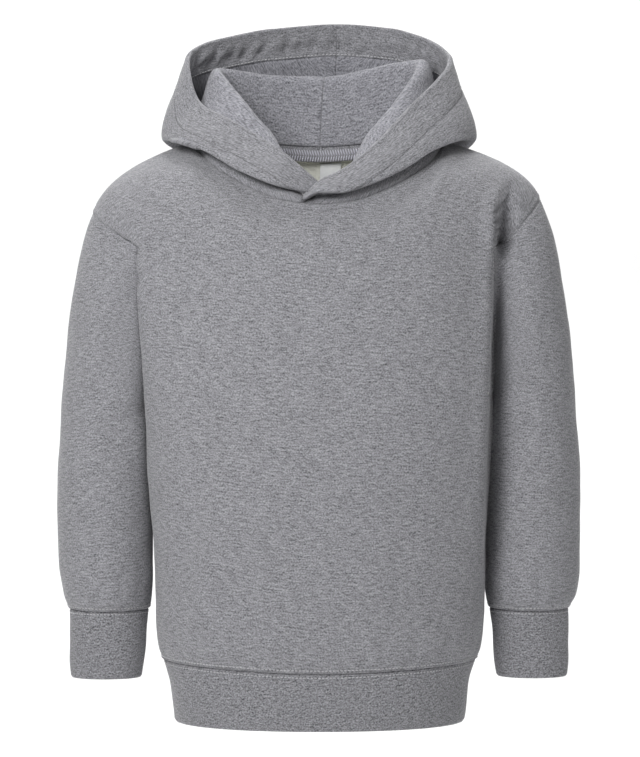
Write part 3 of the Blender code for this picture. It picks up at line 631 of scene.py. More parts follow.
def neck_azimuth(facing, across):
    """The azimuth where a panel's column meets the neckline."""
    share = np.clip(np.abs(across) / NECK_ACROSS, 0, 1)
    front = share * NECK_SIDE
    back = 180.0 - share * (180.0 - NECK_SIDE)
    return np.where(across < 0, -1, 1) * (front if facing > 0 else back)


def shoulder_point(side, share):
    """A point of the shoulder seam, from the neckline (0) to the armhole (1)."""
    values = SIDES[side]
    mirror = np.array([values["sign"], 1.0, 1.0])
    start = neck_point(NECK_SIDE)
    end = np.array(values["shoulder_point"])
    length = np.linalg.norm(end - start)
    start_pull = np.array(SHOULDER_START) * length
    end_pull = np.array(values["shoulder_fall"]) * length
    return hermite(start, start_pull, end, end_pull, share[..., None]) * mirror


def top_edge(facing, across):
    """The panel's top edge: its neckline in the middle and its shoulder seams beside it."""
    points = neck_point(neck_azimuth(facing, across))
    share = np.clip((np.abs(across) - NECK_ACROSS) / (1 - NECK_ACROSS), 0, 1)
    for side, values in SIDES.items():
        on_shoulder = (share > 0) & (across * values["sign"] > 0)
        points = np.where(on_shoulder[..., None], shoulder_point(side, share), points)
    return points


def yoke_pull(across, facing, end):
    """The direction in which a column leaves the chest or arrives at the top edge."""
    share = np.abs(across)
    x, y, z = (YOKE.at(end + axis, share) for axis in ("_x", "_y", "_z"))
    return unit(np.stack([x * np.sign(across), y * facing, z], -1))


def arm_fold(points):
    """The soft valley between chest and sleeve, deeper on the wearer's left."""
    x, y, z = np.moveaxis(points, -1, 0)
    for values in SIDES.values():
        top_x, top_z = values["fold_top"]
        share = np.clip((top_z - z) / (top_z - CHEST + FOLD_TAIL), 0, 1)
        centre = values["sign"] * mix(top_x, FOLD_FOOT, share)
        near = np.exp(-(((x - centre) / FOLD_WIDTH) ** 2))
        depth = values["fold_depth"] * near * share * (2 - share)
        y = y + np.where(y < -FOLD_SKIRT, depth, 0) * np.clip((-y - FOLD_SKIRT) / FOLD_SKIRT, 0, 1)
    return np.stack([x, y, z], -1)


def panel(facing, across, rise):
    """The front (facing 1) or back (-1). rise: 0 hem seam, 1 underarm, 2 chest, 3 top edge."""
    below = mix(HEM_SEAM, UNDERARM, np.clip(rise, 0, 1))
    quarter = np.clip(rise - 1, 0, 1) * math.pi / 2
    height = np.where(rise < 1, below, mix(UNDERARM, CHEST, 1 - np.cos(quarter)))
    lower = lower_panel(facing, across, height)
    start = lower_panel(facing, across, np.full_like(height, CHEST))
    end = top_edge(facing, across)
    length = np.linalg.norm(end - start, axis=-1, keepdims=True) * YOKE_PULL
    upper = hermite(
        start,
        yoke_pull(across, facing, "start") * length,
        end,
        yoke_pull(across, facing, "end") * length,
        np.clip(rise - 2, 0, 1)[..., None],
    )
    return arm_fold(np.where((rise > 2)[..., None], upper, lower))


# ---------------------------------------------------------------- sleeves and bands
def row_beside(down):
    """The panel's row beside a share of the armhole's half, from the shoulder point down."""
    return np.where(down < YOKE_TURN, 3 - down / YOKE_TURN, 2 - (down - YOKE_TURN) / (1 - YOKE_TURN))


def armhole_row(turn):
    return row_beside(np.where(turn <= 0.5, turn, 1 - turn) * 2)


def armhole(side, turn):
    """The armhole seam, from the shoulder point (0) by the front to the underarm (0.5)
    and up the back (1)."""
    rise = armhole_row(turn)
    across = np.full_like(rise, SIDES[side]["sign"])
    return np.where((turn <= 0.5)[..., None], panel(1, across, rise), panel(-1, across, rise))


# The sleeve's direction where it leaves the armhole, by the turn from the shoulder point.
CAP = Sections(
    ("turn", "x", "y", "z"),
    (
        (0.00, 0.30, 0.00, -0.95),
        (0.10, 0.50, -0.30, -0.80),
        (0.20, 0.72, -0.55, -0.42),
        (0.30, 0.80, -0.58, -0.15),
        (0.38, 0.76, -0.58, -0.28),
        (0.45, 0.66, -0.38, -0.64),
        (0.50, 0.60, 0.00, -0.80),
    ),
)


def tube_point(table, side, turn, height):
    """A point of a level section of a sleeve or cuff; turn 0 is outside, 0.25 in front."""
    values = SIDES[side]
    inner, outer = table.at("inner", height), table.at("outer", height)
    around = 2 * math.pi * turn
    x = (inner + outer) / 2 + (outer - inner) / 2 * np.cos(around)
    y = values["arm_back"] - table.at("half_depth", height) * np.sin(around)
    return np.stack(np.broadcast_arrays(values["sign"] * x, y, height), -1)


def sleeve(side, turn, fall):
    """fall: 0 at the armhole, 1 where the sections become level, 2 at the cuff seam."""
    sign = SIDES[side]["sign"]
    half = np.minimum(turn, 1 - turn)
    y_sign = np.where(turn <= 0.5, 1, -1)
    pull = unit(np.stack([CAP.at("x", half) * sign, CAP.at("y", half) * y_sign, CAP.at("z", half)], -1))
    start = armhole(side, turn)
    end = tube_point(SLEEVE, side, turn, np.full_like(turn, SLEEVE_LEVEL))
    length = np.linalg.norm(end - start, axis=-1, keepdims=True) * CAP_PULL
    slant = sign * CAP_SLANT * (1 + np.cos(2 * math.pi * turn)) / 2
    arrival = np.stack(np.broadcast_arrays(slant, 0.0, -1.0), -1)
    cap = hermite(start, pull * length, end, arrival * length, np.clip(fall, 0, 1)[..., None])
    height = mix(SLEEVE_LEVEL, CUFF_SEAM, np.clip(fall - 1, 0, 1))
    tube = tube_point(SLEEVE, side, turn, height)
    return np.where((fall > 1)[..., None], tube, cap)


def cuff(side, turn, fall):
    return tube_point(CUFF, side, turn, mix(CUFF_SEAM, CUFF_BOTTOM, fall))


def hem_band(turn, fall):
    """A ring from the hem seam (0) to the hem (1); turn 0 is the centre front."""
    angle = 2 * math.pi * turn
    height = mix(HEM_SEAM, HEM_BOTTOM, fall)
    x, y = superellipse(HEM, height, angle)
    z = height - drop(angle) * (1 - fall) ** 2
    return np.stack(np.broadcast_arrays(x, y, z), -1)


# ---------------------------------------------------------------- hood
def bspline(points, share):
    """A clamped cubic B-spline through stacked control points (first axis), at shares 0..1."""
    count = len(points)
    knots = np.concatenate([[0.0] * 3, np.linspace(0, 1, count - 2), [1.0] * 3])
    share = np.clip(share, 0, 1 - TINY)
    weights = [((knots[i] <= share) & (share < knots[i + 1])).astype(float) for i in range(count + 3)]
    for degree in (1, 2, 3):
        following = []
        for i in range(count + 3 - degree):
            left = knots[i + degree] - knots[i]
            right = knots[i + degree + 1] - knots[i + 1]
            value = (share - knots[i]) / left * weights[i] if left else 0
            value = value + ((knots[i + degree + 1] - share) / right * weights[i + 1] if right else 0)
            following.append(value)
        weights = following
    return sum(weight[..., None] * point for weight, point in zip(weights, points))


def ramp(value, start, end):
    """0 before the start, 1 past the end and straight between."""
    return np.clip((value - start) / (end - start), 0, 1)


def hood(side, azimuth, rise):
    """A point of a hood piece; rise goes from the neck seam (0) to the rim (1)."""
    radius, height = NECK.at("radius", np.abs(azimuth)), NECK.at("height", np.abs(azimuth))
    if side == "right":
        radius = radius - LAP * (1 - ramp(azimuth, *LAP_FADE))
    back = ramp(azimuth, FOLD_FROM, FOLD_TO)
    flat = np.clip((azimuth - FLAT_FROM) / FLAT_OVER, FLATTEST, 1)
    ridge = mix(*RIDGE_WIDTHS, back) * flat
    roll = mix(*ROLL_WIDTHS, back) * flat
    bulge = mix(*OUTER_BULGES, back**3) * flat
    ridge_out, ridge_height, roll_out, roll_height, rim_out, rim_height = (
        HOODS[side].at(column, azimuth) for column in HOOD_COLUMNS[1:]
    )
    first = np.minimum(FIRST_RISE, (ridge_height - height) * FIRST_SHARE)
    dip = roll_height - roll * ROLL_SAG
    inner_dip = dip + roll * ROLL_TILT * np.sin(np.radians(azimuth)) ** 2
    ridge_in, ridge_far = ridge_out - ridge / 2, ridge_out + ridge / 2
    ridge_top = ridge_height + ridge * RIDGE_LIFT
    profile = (
        (radius, height),
        (radius, height + first),
        (mix(radius, ridge_in, LEAN_SHARE), mix(height + first, ridge_height, LEAN_SHARE)),
        (ridge_in, ridge_top),
        (ridge_far, ridge_top),
        (mix(ridge_far, roll_out - roll, FALL_SHARE), mix(ridge_height, roll_height, FALL_SHARE)),
        (roll_out - roll, inner_dip),
        (roll_out, dip),
        (mix(roll_out, rim_out, POUCH_SHARE) + bulge, mix(roll_height, rim_height, POUCH_SHARE)),
        (rim_out + bulge * RIM_BULGE, mix(roll_height, rim_height, RIM_SHARE)),
        (rim_out, rim_height),
    )
    out, up = (bspline([np.asarray(point[i])[..., None] for point in profile], rise)[..., 0] for i in (0, 1))
    turn = np.radians(azimuth)
    back = ramp(azimuth, LEAN_FROM, 180.0)
    lean = LEAN * rise * back**2 * (3 - 2 * back)
    return np.stack([out * np.sin(turn) * SIDES[side]["sign"] + lean, -out * np.cos(turn), up], -1)


# ---------------------------------------------------------------- the worn form
def bell(distance, width):
    """A smooth hump: 1 at no distance, fading over the width."""
    return np.exp(-((distance / width) ** 2))


def folded(points):
    """Points with the crisp fold at the left sleeve's front and the filled hollow at the right's.

    It depends on the place alone, so pieces that meet still meet.
    """
    x, y, z = (points[..., axis] for axis in range(3))
    front = 1 / (1 + np.exp((y + FOLD_FRONT) / FOLD_SOFTNESS))
    from_fold = x - np.interp(-z, *FOLD_PATH)
    lift = np.interp(-z, *FOLD_LIFT)
    body_side = 1 / (1 + np.exp(from_fold / (FOLD_EDGE / 2)))
    fold = lift * (body_side - FOLD_SINK * (1 - body_side)) * bell(from_fold, FOLD_REACH)
    fold -= TROUGH * lift * bell(from_fold - TROUGH_AT, TROUGH_WIDTH) * (1 - body_side)
    fill = np.interp(-z, *FILL_LIFT) * bell(x - FILL_X, FILL_REACH)
    moved = points.copy()
    moved[..., 1] -= front * (fold + fill)
    return moved


def worn_panel(facing, across, rise):
    return folded(panel(facing, *np.broadcast_arrays(across, rise)))


def worn_sleeve(side, turn, fall):
    return folded(sleeve(side, *np.broadcast_arrays(turn, fall)))


def worn_armhole(side, turn):
    return folded(armhole(side, turn))


# ---------------------------------------------------------------- sampling
def steps(*stops):
    """Samples through (from, to, count) stretches, each joined to the last."""
    parts = [np.linspace(start, end, count + 1)[1:] for start, end, count in stops]
    return np.concatenate([[stops[0][0]], *parts])


def run_lengths(path):
    """Distances along a line of points, from its start."""
    length = np.linalg.norm(np.diff(path, axis=0), axis=1)
    return np.concatenate([[0], np.cumsum(length)])


def armhole_shares():
    """Shares of the armhole's front half that split it into equal lengths."""
    fine = np.linspace(0, 1, ARMHOLE_SAMPLES)
    total = run_lengths(worn_armhole("left", fine / 2))
    return np.interp(np.linspace(0, total[-1], ARMHOLE_STEPS + 1), total, fine)


def armhole_turns():
    """Turns evenly spaced along the armhole, down its front and up its back."""
    half = armhole_shares() / 2
    return np.concatenate([half, 1 - half[-2:0:-1]])


def panel_rises():
    """A panel's rows, matched to the armhole."""
    upper = row_beside(armhole_shares())[::-1]
    below = np.linspace(*PANEL_SIDE_ROWS)[:-1]
    return np.concatenate([PANEL_HEM_ROWS, below, upper[upper < PANEL_YOKE_TO], PANEL_TOP_ROWS])


def panel_shares():
    half = np.concatenate([steps(*PANEL_COLUMNS), PANEL_EDGE_COLUMNS])
    return np.concatenate([-half[:0:-1], half])


def sleeve_falls():
    return np.concatenate([CAP_ROWS, steps(*SLEEVE_ROWS), SLEEVE_CUFF_ROWS])


def band_falls(count):
    """Rows of a rib band from its seam to its folded edge."""
    return np.concatenate([BAND_SEAM_ROWS, np.linspace(*BAND_MIDDLE, count), BAND_EDGE_ROWS])


def ring_turns(count, start):
    """Turns round a tube from a start, which puts the grid's own seam there."""
    return (np.arange(count) / count + start) % 1


def hood_azimuths(first):
    return steps((first, BACK_EDGE - HOOD_BACK, HOOD_STRIPS),
                 (BACK_EDGE - HOOD_BACK, BACK_EDGE, HOOD_BACK_STRIPS))


def grid_normals(points, closed=False):
    """Unit normals at the points of a grid; closed joins its last column to its first."""
    if closed:
        points = np.concatenate([points[:, -1:], points, points[:, :1]], 1)
    faces = unit(np.cross(points[1:, 1:] - points[:-1, :-1], points[1:, :-1] - points[:-1, 1:]))
    total = np.zeros_like(points)
    for rows in (slice(1, None), slice(-1)):
        for columns in (slice(1, None), slice(-1)):
            total[rows, columns] += faces
    total = unit(total)
    return total[:, 1:-1] if closed else total


def outward(points, flip, closed=False):
    return grid_normals(points, closed) * (-1 if flip else 1)


def metric(points, closed, middle, origin, level):
    """Distances along each row, from the middle column, and across the rows from the origin row.

    Between level rows the distance is the drop, so that the knit's courses stay level.
    """
    if closed:
        points = np.concatenate([points, points[:, :1]], 1)
    along = np.cumsum(np.linalg.norm(np.diff(points, axis=1), axis=2), axis=1)
    along = np.concatenate([np.zeros((points.shape[0], 1)), along], 1)
    stride = np.linalg.norm(np.diff(points, axis=0), axis=2)
    stride[level] = np.abs(np.diff(points[..., 2], axis=0))[level]
    up = np.concatenate([np.zeros((1, points.shape[1])), np.cumsum(stride, axis=0)], 0)
    return along - along[:, middle:middle + 1], up - up[origin]


# ---------------------------------------------------------------- relief
def crease_line(surface, start, end):
    """Points along a crease, straight in a surface's own two coordinates."""
    share = np.linspace(0, 1, CREASE_SAMPLES)
    return surface(mix(start[0], end[0], share), mix(start[1], end[1], share))


def drawn(surface, rows):
    """A table's creases on a surface, as (line, width, height)."""
    return [(crease_line(surface, row[:2], row[2:4]), *row[4:]) for row in rows]


def nearest_in_view(points, x, z):
    """The points that lie nearest to places given in X and Z."""
    flat = points.reshape(-1, 3)
    places = np.stack([x, z], -1)
    return flat[[np.argmin(((flat[:, [0, 2]] - place) ** 2).sum(-1)) for place in places]]


def creases(points, lines):
    """Height added by soft creases, each a line of points with a width and a height."""
    total = np.zeros(points.shape[:-1])
    taper = np.sin(math.pi * np.linspace(*CREASE_ENDS, CREASE_SAMPLES)) ** CREASE_TAPER
    for line, width, height in lines:
        spacing = np.linalg.norm(np.diff(line, axis=0), axis=1).mean()
        reach = CREASE_REACH * width
        near = np.all((points > line.min(0) - reach) & (points < line.max(0) + reach), axis=-1)
        squares = ((points[near][:, None, :] - line) ** 2).sum(-1)
        narrow, broad = (
            np.exp(-squares / size**2) @ taper * spacing / (math.sqrt(math.pi) * size)
            for size in (width, 2 * width)
        )
        total[near] += height * ((1 + CREASE_SHOULDER) * narrow - CREASE_SHOULDER * broad)
    return total


def waviness(points):
    """The cloth's gentle unevenness; one field for every piece, so that seams still meet."""
    total = np.zeros(points.shape[:-1])
    for size, height in WAVES:
        places = (points.reshape(-1, 3) / size).tolist()
        total += np.array([noise.noise(Vector(place)) for place in places]).reshape(total.shape) * height
    return total


def gathers(seed, surface, ranges, sign):
    """Short uneven creases side by side along an edge; the sign is -1 for troughs."""
    chance = np.random.default_rng(seed)
    place, last = ranges["stretch"]
    lines = []
    while place < last:
        foot = chance.uniform(*ranges["foot"]) if "foot" in ranges else 0.0
        end = (place + chance.uniform(*ranges["slant"]), chance.uniform(*ranges["top"]))
        line = crease_line(surface, (place, foot), end)
        lines.append((line, chance.uniform(*ranges["width"]), sign * chance.uniform(*ranges["height"])))
        place += chance.uniform(*ranges["spacing"])
    return lines


def rim_puckers(side, inside, azimuths):
    """Slanted puckers in the turned hem, from its stitching towards the rim."""
    chance = np.random.default_rng(SEEDS["rim"][side])
    share = np.linspace(0, 1, CREASE_SAMPLES)
    lines = []
    azimuth, last = RIM_PUCKERS["stretch"]
    while azimuth < last:
        start, end, slant = (chance.uniform(*RIM_PUCKERS[name]) for name in ("foot", "top", "slant"))
        row = np.interp(mix(start, end, share), HEM_ROWS, np.arange(len(HEM_ROWS)))
        column = np.interp(mix(azimuth, azimuth + slant, share), azimuths, np.arange(len(azimuths)))
        line = inside[np.rint(row).astype(int) - len(HEM_ROWS), np.rint(column).astype(int)]
        lines.append((line, *(chance.uniform(*RIM_PUCKERS[name]) for name in ("width", "height"))))
        azimuth += chance.uniform(*RIM_PUCKERS["spacing"])
    return lines


# ---------------------------------------------------------------- seams
def edge_normals(edge, inner, outside):
    """A surface's normals along its edge, from a line just inside it, facing outside."""
    normals = unit(np.cross(np.gradient(edge, axis=0), inner - edge))
    return normals * np.sign((normals * outside).sum(-1, keepdims=True))


def radial(line, centre=0.0):
    """Level directions out of the middle of a ring."""
    return unit((line - centre) * np.array([1, 1, 0]))


class Seam:
    """A line where two pieces meet, with the direction out of it that they share.

    Both pieces fold in along that direction, so that the sewn seam stays closed.
    """

    def __init__(self, kind, line, first, second, shave=0.0):
        self.out = unit(first + second)
        self.depth = SEAM_DEPTHS[kind]
        self.shave = shave * np.ones(len(line))
        self.tree = KDTree(len(line))
        for index, point in enumerate(line.tolist()):
            self.tree.insert(point, index)
        self.tree.balance()

    def nearest(self, points):
        found = [self.tree.find(point) for point in points.reshape(-1, 3).tolist()]
        distance = np.array([item[2] for item in found]).reshape(points.shape[:-1])
        index = np.array([item[1] for item in found]).reshape(points.shape[:-1])
        groove = self.depth * bell(distance, EDGE_ROLL)
        return distance, self.out[index], groove + self.shave[index] * np.exp(-distance / ROUND_WIDTH)


def sewn(points, normals, height, seams):
    """The points raised by their creases and folded in at their seams.

    Each row of seams is (seam, swell, dent): the swell stands between the seam and the
    dent of its stitch line. Also returns the nearest seam's direction at every point.
    """
    total = np.zeros_like(points)
    keep = np.ones(points.shape[:-1])
    bumps = np.zeros(points.shape[:-1])
    closest = np.full(points.shape[:-1], np.inf)
    out = normals.copy()
    for seam, swell, dent_at in seams:
        distance, direction, depth = seam.nearest(points)
        total -= depth[..., None] * direction
        keep = np.minimum(keep, 1 - bell(distance, SEAM_FADE))
        if dent_at:
            bumps += swell * bell(distance - dent_at / 2, dent_at / 4)
            bumps -= STITCH_DENT * bell(distance - dent_at, DENT_WIDTH)
        out = np.where((distance < closest)[..., None], direction, out)
        closest = np.minimum(closest, distance)
    return points + total + normals * (height * keep + bumps)[..., None], out


def softened(values):
    """Rows along a seam averaged with their neighbours, so that a corner turns gradually."""
    weight = np.hanning(CORNER_SAMPLES + 2)[1:-1]
    weight /= weight.sum()
    ends = [(CORNER_SAMPLES // 2,) * 2] + [(0, 0)] * (values.ndim - 1)
    padded = np.pad(values, ends, mode="edge")
    return np.apply_along_axis(np.convolve, 0, padded, weight, mode="valid")


def armhole_seam(side, facing):
    """The front or back half of an armhole.

    Its directions are those of the unfolded cloth, because the folds run along it.
    """
    sign = SIDES[side]["sign"]
    turns = np.linspace(*((0, 0.5) if facing > 0 else (0.5, 1)), SEAM_SAMPLES)
    line = worn_armhole(side, turns)
    on_panel = worn_panel(facing, sign * NEAR_SIDE, armhole_row(turns))
    on_sleeve = worn_sleeve(side, turns, NEAR_CAP)
    plain = armhole(side, turns)
    plain_panel = panel(facing, np.full(SEAM_SAMPLES, sign * NEAR_SIDE), armhole_row(turns))
    plain_sleeve = sleeve(side, turns, np.full(SEAM_SAMPLES, NEAR_CAP))
    middle = plain * np.array([0, 0, 1]) - np.array([0, 0, ARMHOLE_MIDDLE_DROP])
    centre = armhole(side, np.linspace(0, 1, ARMHOLE_CENTRE_SAMPLES)).mean(0)
    first = edge_normals(plain, plain_panel, plain - middle)
    second = edge_normals(plain, plain_sleeve, plain - centre)
    rising = ((unit(on_panel - line) + unit(on_sleeve - line)) * unit(first + second)).sum(-1)
    bend = np.arcsin(np.clip(-rising / 2, -1, 1))
    shave = np.clip(ROUND_WIDTH * bend, -HOLLOW_FILL[side], SHOULDER_SHAVE)
    return Seam("armhole", line, softened(first), softened(second), softened(shave))


def panels_seam(kind, edge, inside, outside):
    """A seam between front and back, from the panels' own coordinates of its edge."""
    lines = [(worn_panel(facing, *edge), worn_panel(facing, *inside)) for facing in (1, -1)]
    return Seam(kind, lines[0][0], *(edge_normals(*pair, np.array(outside)) for pair in lines))


def side_seam(sign):
    rises = np.linspace(0, 1, SEAM_SAMPLES)
    return panels_seam("side", (sign, rises), (sign * NEAR_SIDE, rises), (sign, 0, 0))


def shoulder_seam(sign):
    across = np.linspace(NECK_ACROSS, 1, SEAM_SAMPLES) * sign
    return panels_seam("shoulder", (across, 3.0), (across, NEAR_TOP), (SHOULDER_LEAN * sign, 0, 1))


def neck_seam(facing):
    across = np.linspace(-NECK_ACROSS, NECK_ACROSS, SEAM_SAMPLES)
    edge, inside = (worn_panel(facing, across, rise) for rise in (3.0, NEAR_TOP))
    normals = edge_normals(edge, inside, np.array([0, -NECK_LEAN * facing, 1.0]))
    return Seam("neck", edge, normals, radial(edge))


def hem_seam(facing):
    across = np.linspace(-1, 1, SEAM_SAMPLES)
    edge, inside = (worn_panel(facing, across, rise) for rise in (0.0, NEAR_HEM))
    return Seam("hem", edge, edge_normals(edge, inside, radial(edge)), radial(edge))


def cuff_seam(side):
    turns = np.linspace(0, 1, SEAM_SAMPLES)
    edge = cuff(side, turns, np.zeros(SEAM_SAMPLES))
    out = radial(edge, edge.mean(0))
    return Seam("cuff", edge, edge_normals(edge, worn_sleeve(side, turns, NEAR_CUFF), out), out)


def band_edge(line):
    """The folded bottom edge of a rib band."""
    out = radial(line, line.mean(0))
    return Seam("edge", line, out, out)


def centre_seam():
    """The hood's centre seam, from the neck to the rim."""
    rises = np.linspace(0, 1, SEAM_SAMPLES)
    normals = []
    for side in SIDES:
        points = hood(side, *np.meshgrid(BACK_EDGE - np.arange(2, -1, -1), rises))
        normals.append(outward(points, side == "right")[:, -1])
    return Seam("centre", points[:, -1], *normals)


# ---------------------------------------------------------------- pieces
def placed(name, data):
    """A new object in the scene."""
    item = bpy.data.objects.new(name, data)
    bpy.context.scene.collection.objects.link(item)
    return item


def cloth_mesh(name, points, out, wall, outer, inner, closed=False, flip=False, middle=0, origin=0,
               level=slice(0, 0), turned=()):
    """A cloth wall on a grid of outer points, with its own lengths in metres as UVs.

    The edges named in turned are folded in by the seam allowance, against out. The
    allowances show the outer side of the cloth on both faces.
    """
    along, up = metric(points, closed, middle, origin, level)
    points, along, up = turned_in(points, along, up, out, turned)
    rows, columns = points.shape[:2]
    index = np.arange(rows * columns).reshape(rows, columns)
    across = np.arange(columns if closed else columns - 1)
    beyond = (across + 1) % columns
    corners = [index[:-1, across], index[:-1, beyond], index[1:, beyond], index[1:, across]]
    texture = [
        np.stack([along[stretch, column], up[stretch, column]], -1)
        for stretch, column in ((slice(-1), across), (slice(-1), across + 1),
                                (slice(1, None), across + 1), (slice(1, None), across))
    ]
    faces = np.stack(corners, -1).reshape(-1, 4)
    texture = np.stack(texture, 2).reshape(-1, 4, 2) + CLOTH_SHIFT * len(bpy.data.meshes)
    if flip:
        faces, texture = faces[:, ::-1], texture[:, ::-1]
    mesh = bpy.data.meshes.new(name)
    mesh.from_pydata(points.reshape(-1, 3).tolist(), [], faces.tolist())
    layer = mesh.uv_layers.new(name="Cloth")
    layer.data.foreach_set("uv", np.ascontiguousarray(texture, dtype=np.float32).ravel())
    for side in (outer, inner, outer, outer):
        mesh.materials.append(side)
    allowance = np.full((rows - 1, len(across)), OUTER, dtype=np.int32)
    for edge, cells in (("start", np.s_[:1]), ("end", np.s_[-1:]), ("left", np.s_[:, :1]),
                        ("right", np.s_[:, -1:])):
        if edge in turned:
            allowance[cells] = ALLOWANCE_SLOT
    mesh.polygons.foreach_set("material_index", allowance.ravel())
    mesh.shade_smooth()
    piece = placed(name, mesh)
    solidify = piece.modifiers.new("Wall", "SOLIDIFY")
    solidify.thickness = wall
    solidify.offset = -1
    solidify.material_offset = 1
    return piece


def turned_in(points, along, up, out, turned):
    """Add the seam allowances: a row or column past each named edge, folded to the inside."""
    for edge in turned:
        row_wise = edge in ("start", "end")
        axis = 0 if row_wise else 1
        last = edge in ("end", "right")
        place = -1 if last else 0

        def grown(grid, shift):
            line = np.take(grid, [place], axis=axis) + shift
            return np.concatenate([grid, line] if last else [line, grid], axis)

        fold = -np.take(out, [place], axis=axis) * ALLOWANCE
        step = ALLOWANCE if last else -ALLOWANCE
        points = grown(points, fold)
        along = grown(along, 0.0 if row_wise else step)
        up = grown(up, step if row_wise else 0.0)
        out = grown(out, 0.0)
    return points, along, up


def declare(piece, node):
    """Attach a cloth piece to the root, and hide the solid part that it stands for."""
    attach(piece, "root")
    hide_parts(node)
    return piece


def eased(points, centres, reach, passes):
    """A grid smoothed near the given places, with its first and last rows kept."""
    near = np.min([np.linalg.norm(points - centre, axis=-1) for centre in centres], axis=0)
    share = EASE_SHARE * bell(near, reach)[1:-1, :, None]
    for _ in range(passes):
        beside = np.roll(points, 1, 1) + np.roll(points, -1, 1)
        around = (points[:-2] + points[2:] + beside[1:-1]) / 4
        points = np.concatenate([points[:1], mix(points[1:-1], around, share), points[-1:]])
    return points


def make_panel(facing, outer, inner):
    shares = panel_shares()
    rises = panel_rises()
    plain = worn_panel(facing, *np.meshgrid(shares, rises))
    corners = [neck_point(NECK_SIDE) * np.array([sign, 1, 1]) for sign in (-1, 1)]
    points = eased(plain, corners, *NECK_EASE)
    points[:, [0, -1]] = plain[:, [0, -1]]
    lines = drawn(lambda x, z: nearest_in_view(points, x, z), PANEL_CREASES[facing])
    lines += gathers(SEEDS["hem"][facing], lambda u, v: worn_panel(facing, u, v), HEM_GATHERS, -1)
    height = creases(points, lines) + waviness(points)
    seams = [(armhole_seam(side, facing), SEAM_SWELLS["armhole"], PANEL_ROW) for side in SIDES]
    seams += [(side_seam(sign), 0, None) for sign in (-1.0, 1.0)]
    seams += [(shoulder_seam(sign), 0, None) for sign in (-1.0, 1.0)]
    seams.append((neck_seam(facing), SEAM_SWELLS["neck"], PANEL_ROW))
    seams.append((hem_seam(facing), SEAM_SWELLS["gathered"], ABOVE_ROW))
    flip = facing < 0
    points, out = sewn(points, outward(points, flip), height, seams)
    return cloth_mesh("back_cloth" if flip else "front_cloth", points, out, FLEECE, outer, inner,
                      flip=flip, middle=len(shares) // 2, level=slice(0, int(np.searchsorted(rises, 2))),
                      turned=("start", "end", "left", "right"))


def make_sleeve(side, outer, inner):
    flip = side == "right"
    falls = sleeve_falls()
    turns = armhole_turns()
    turns = np.roll(turns, -int(np.searchsorted(turns, 0.5)))
    centres = [np.array(place) * np.array([SIDES[side]["sign"], 1, 1]) for place in CAP_EASE_AT]
    points = eased(worn_sleeve(side, *np.meshgrid(turns, falls)), centres, *CAP_EASE)
    lines = drawn(lambda u, v: worn_sleeve(side, u % 1, v), SLEEVE_CREASES[side])
    lines += gathers(SEEDS["sleeve"][side], lambda u, v: worn_sleeve(side, u, 2 - v), SLEEVE_GATHERS, -1)
    height = creases(points, lines) + waviness(points)
    seams = [(armhole_seam(side, facing), SEAM_SWELLS["cap"], SLEEVE_ROW) for facing in (1, -1)]
    seams.append((cuff_seam(side), SEAM_SWELLS["gathered"], ABOVE_ROW))
    points, out = sewn(points, outward(points, flip, closed=True), height, seams)
    return cloth_mesh("sleeve_" + side + "_cloth", points, out, FLEECE, outer, inner, closed=True,
                      flip=flip, middle=len(turns) // 2, origin=len(falls) - 1,
                      level=slice(int(np.searchsorted(falls, 1)), None), turned=("start", "end"))


def make_band(name, surface, turns, rows, upper_seams, rib, flip, middle):
    """A rib band: a tube from its seam to its folded edge."""
    points = surface(*np.meshgrid(turns, band_falls(rows)))
    edge = surface(np.linspace(0, 1, SEAM_SAMPLES), np.ones(SEAM_SAMPLES))
    seams = [(seam, SEAM_SWELLS["band"], BELOW_ROW) for seam in upper_seams]
    seams.append((band_edge(edge), 0, None))
    points, out = sewn(points, outward(points, flip, closed=True), waviness(points), seams)
    return cloth_mesh(name, points, out, RIB, rib, rib, closed=True, flip=flip, middle=middle,
                      turned=("start",))


def make_cuff(side, rib):
    return make_band("cuff_" + side + "_cloth", lambda turn, fall: cuff(side, turn, fall),
                     ring_turns(CUFF_STRIPS, 0.5), CUFF_ROWS, [cuff_seam(side)], rib,
                     side == "right", CUFF_STRIPS // 2)


def make_hem_band(rib):
    return make_band("hem_band_cloth", hem_band, ring_turns(HEM_STRIPS, 0.25), HEM_BAND_ROWS,
                     [hem_seam(facing) for facing in (1, -1)], rib, True, HEM_STRIPS * 3 // 4)


def hood_surface(side, azimuth, rise):
    """The hood's outer face on a grid, with its creases, its normals and its seams' directions."""
    points = hood(side, azimuth, rise)
    sink = CREVICE * np.sin(math.pi * np.clip(rise / CREVICE_RISE, 0, 1)) ** 2
    sink = sink * np.clip((CREVICE_END - np.abs(azimuth)) / CREVICE_FADE, 0, 1)
    points[..., :2] *= 1 - (sink / np.hypot(points[..., 0], points[..., 1]))[..., None]
    normals = outward(points, side == "right")
    lines = drawn(lambda u, v: hood(side, u, v), HOOD_CREASES[side])
    height = creases(points, lines) + waviness(points)
    seams = [(seam, 0, None) for seam in (centre_seam(), neck_seam(1), neck_seam(-1))]
    points, out = sewn(points, normals, height, seams)
    return points, normals, out


def rim_depths(points):
    """Distances down from the rim at every point of a hood grid."""
    length = np.cumsum(np.linalg.norm(np.diff(points[::-1], axis=0), axis=2), axis=0)
    return np.concatenate([np.zeros((1, points.shape[1])), length], 0)[::-1]


def hem_depth(depths):
    """The depth of the turned hem in each column: less at the short front ends."""
    return np.minimum(HEM_DEPTH, HEM_SHARE * depths[0])


def at_depths(wanted, depths, grid):
    """Rows of a hood grid at the wanted distances from the rim, column by column."""
    rows = np.empty((*wanted.shape, 3))
    for column in range(wanted.shape[1]):
        for axis in range(3):
            rows[:, column, axis] = np.interp(
                wanted[:, column], depths[::-1, column], grid[::-1, column, axis]
            )
    return rows


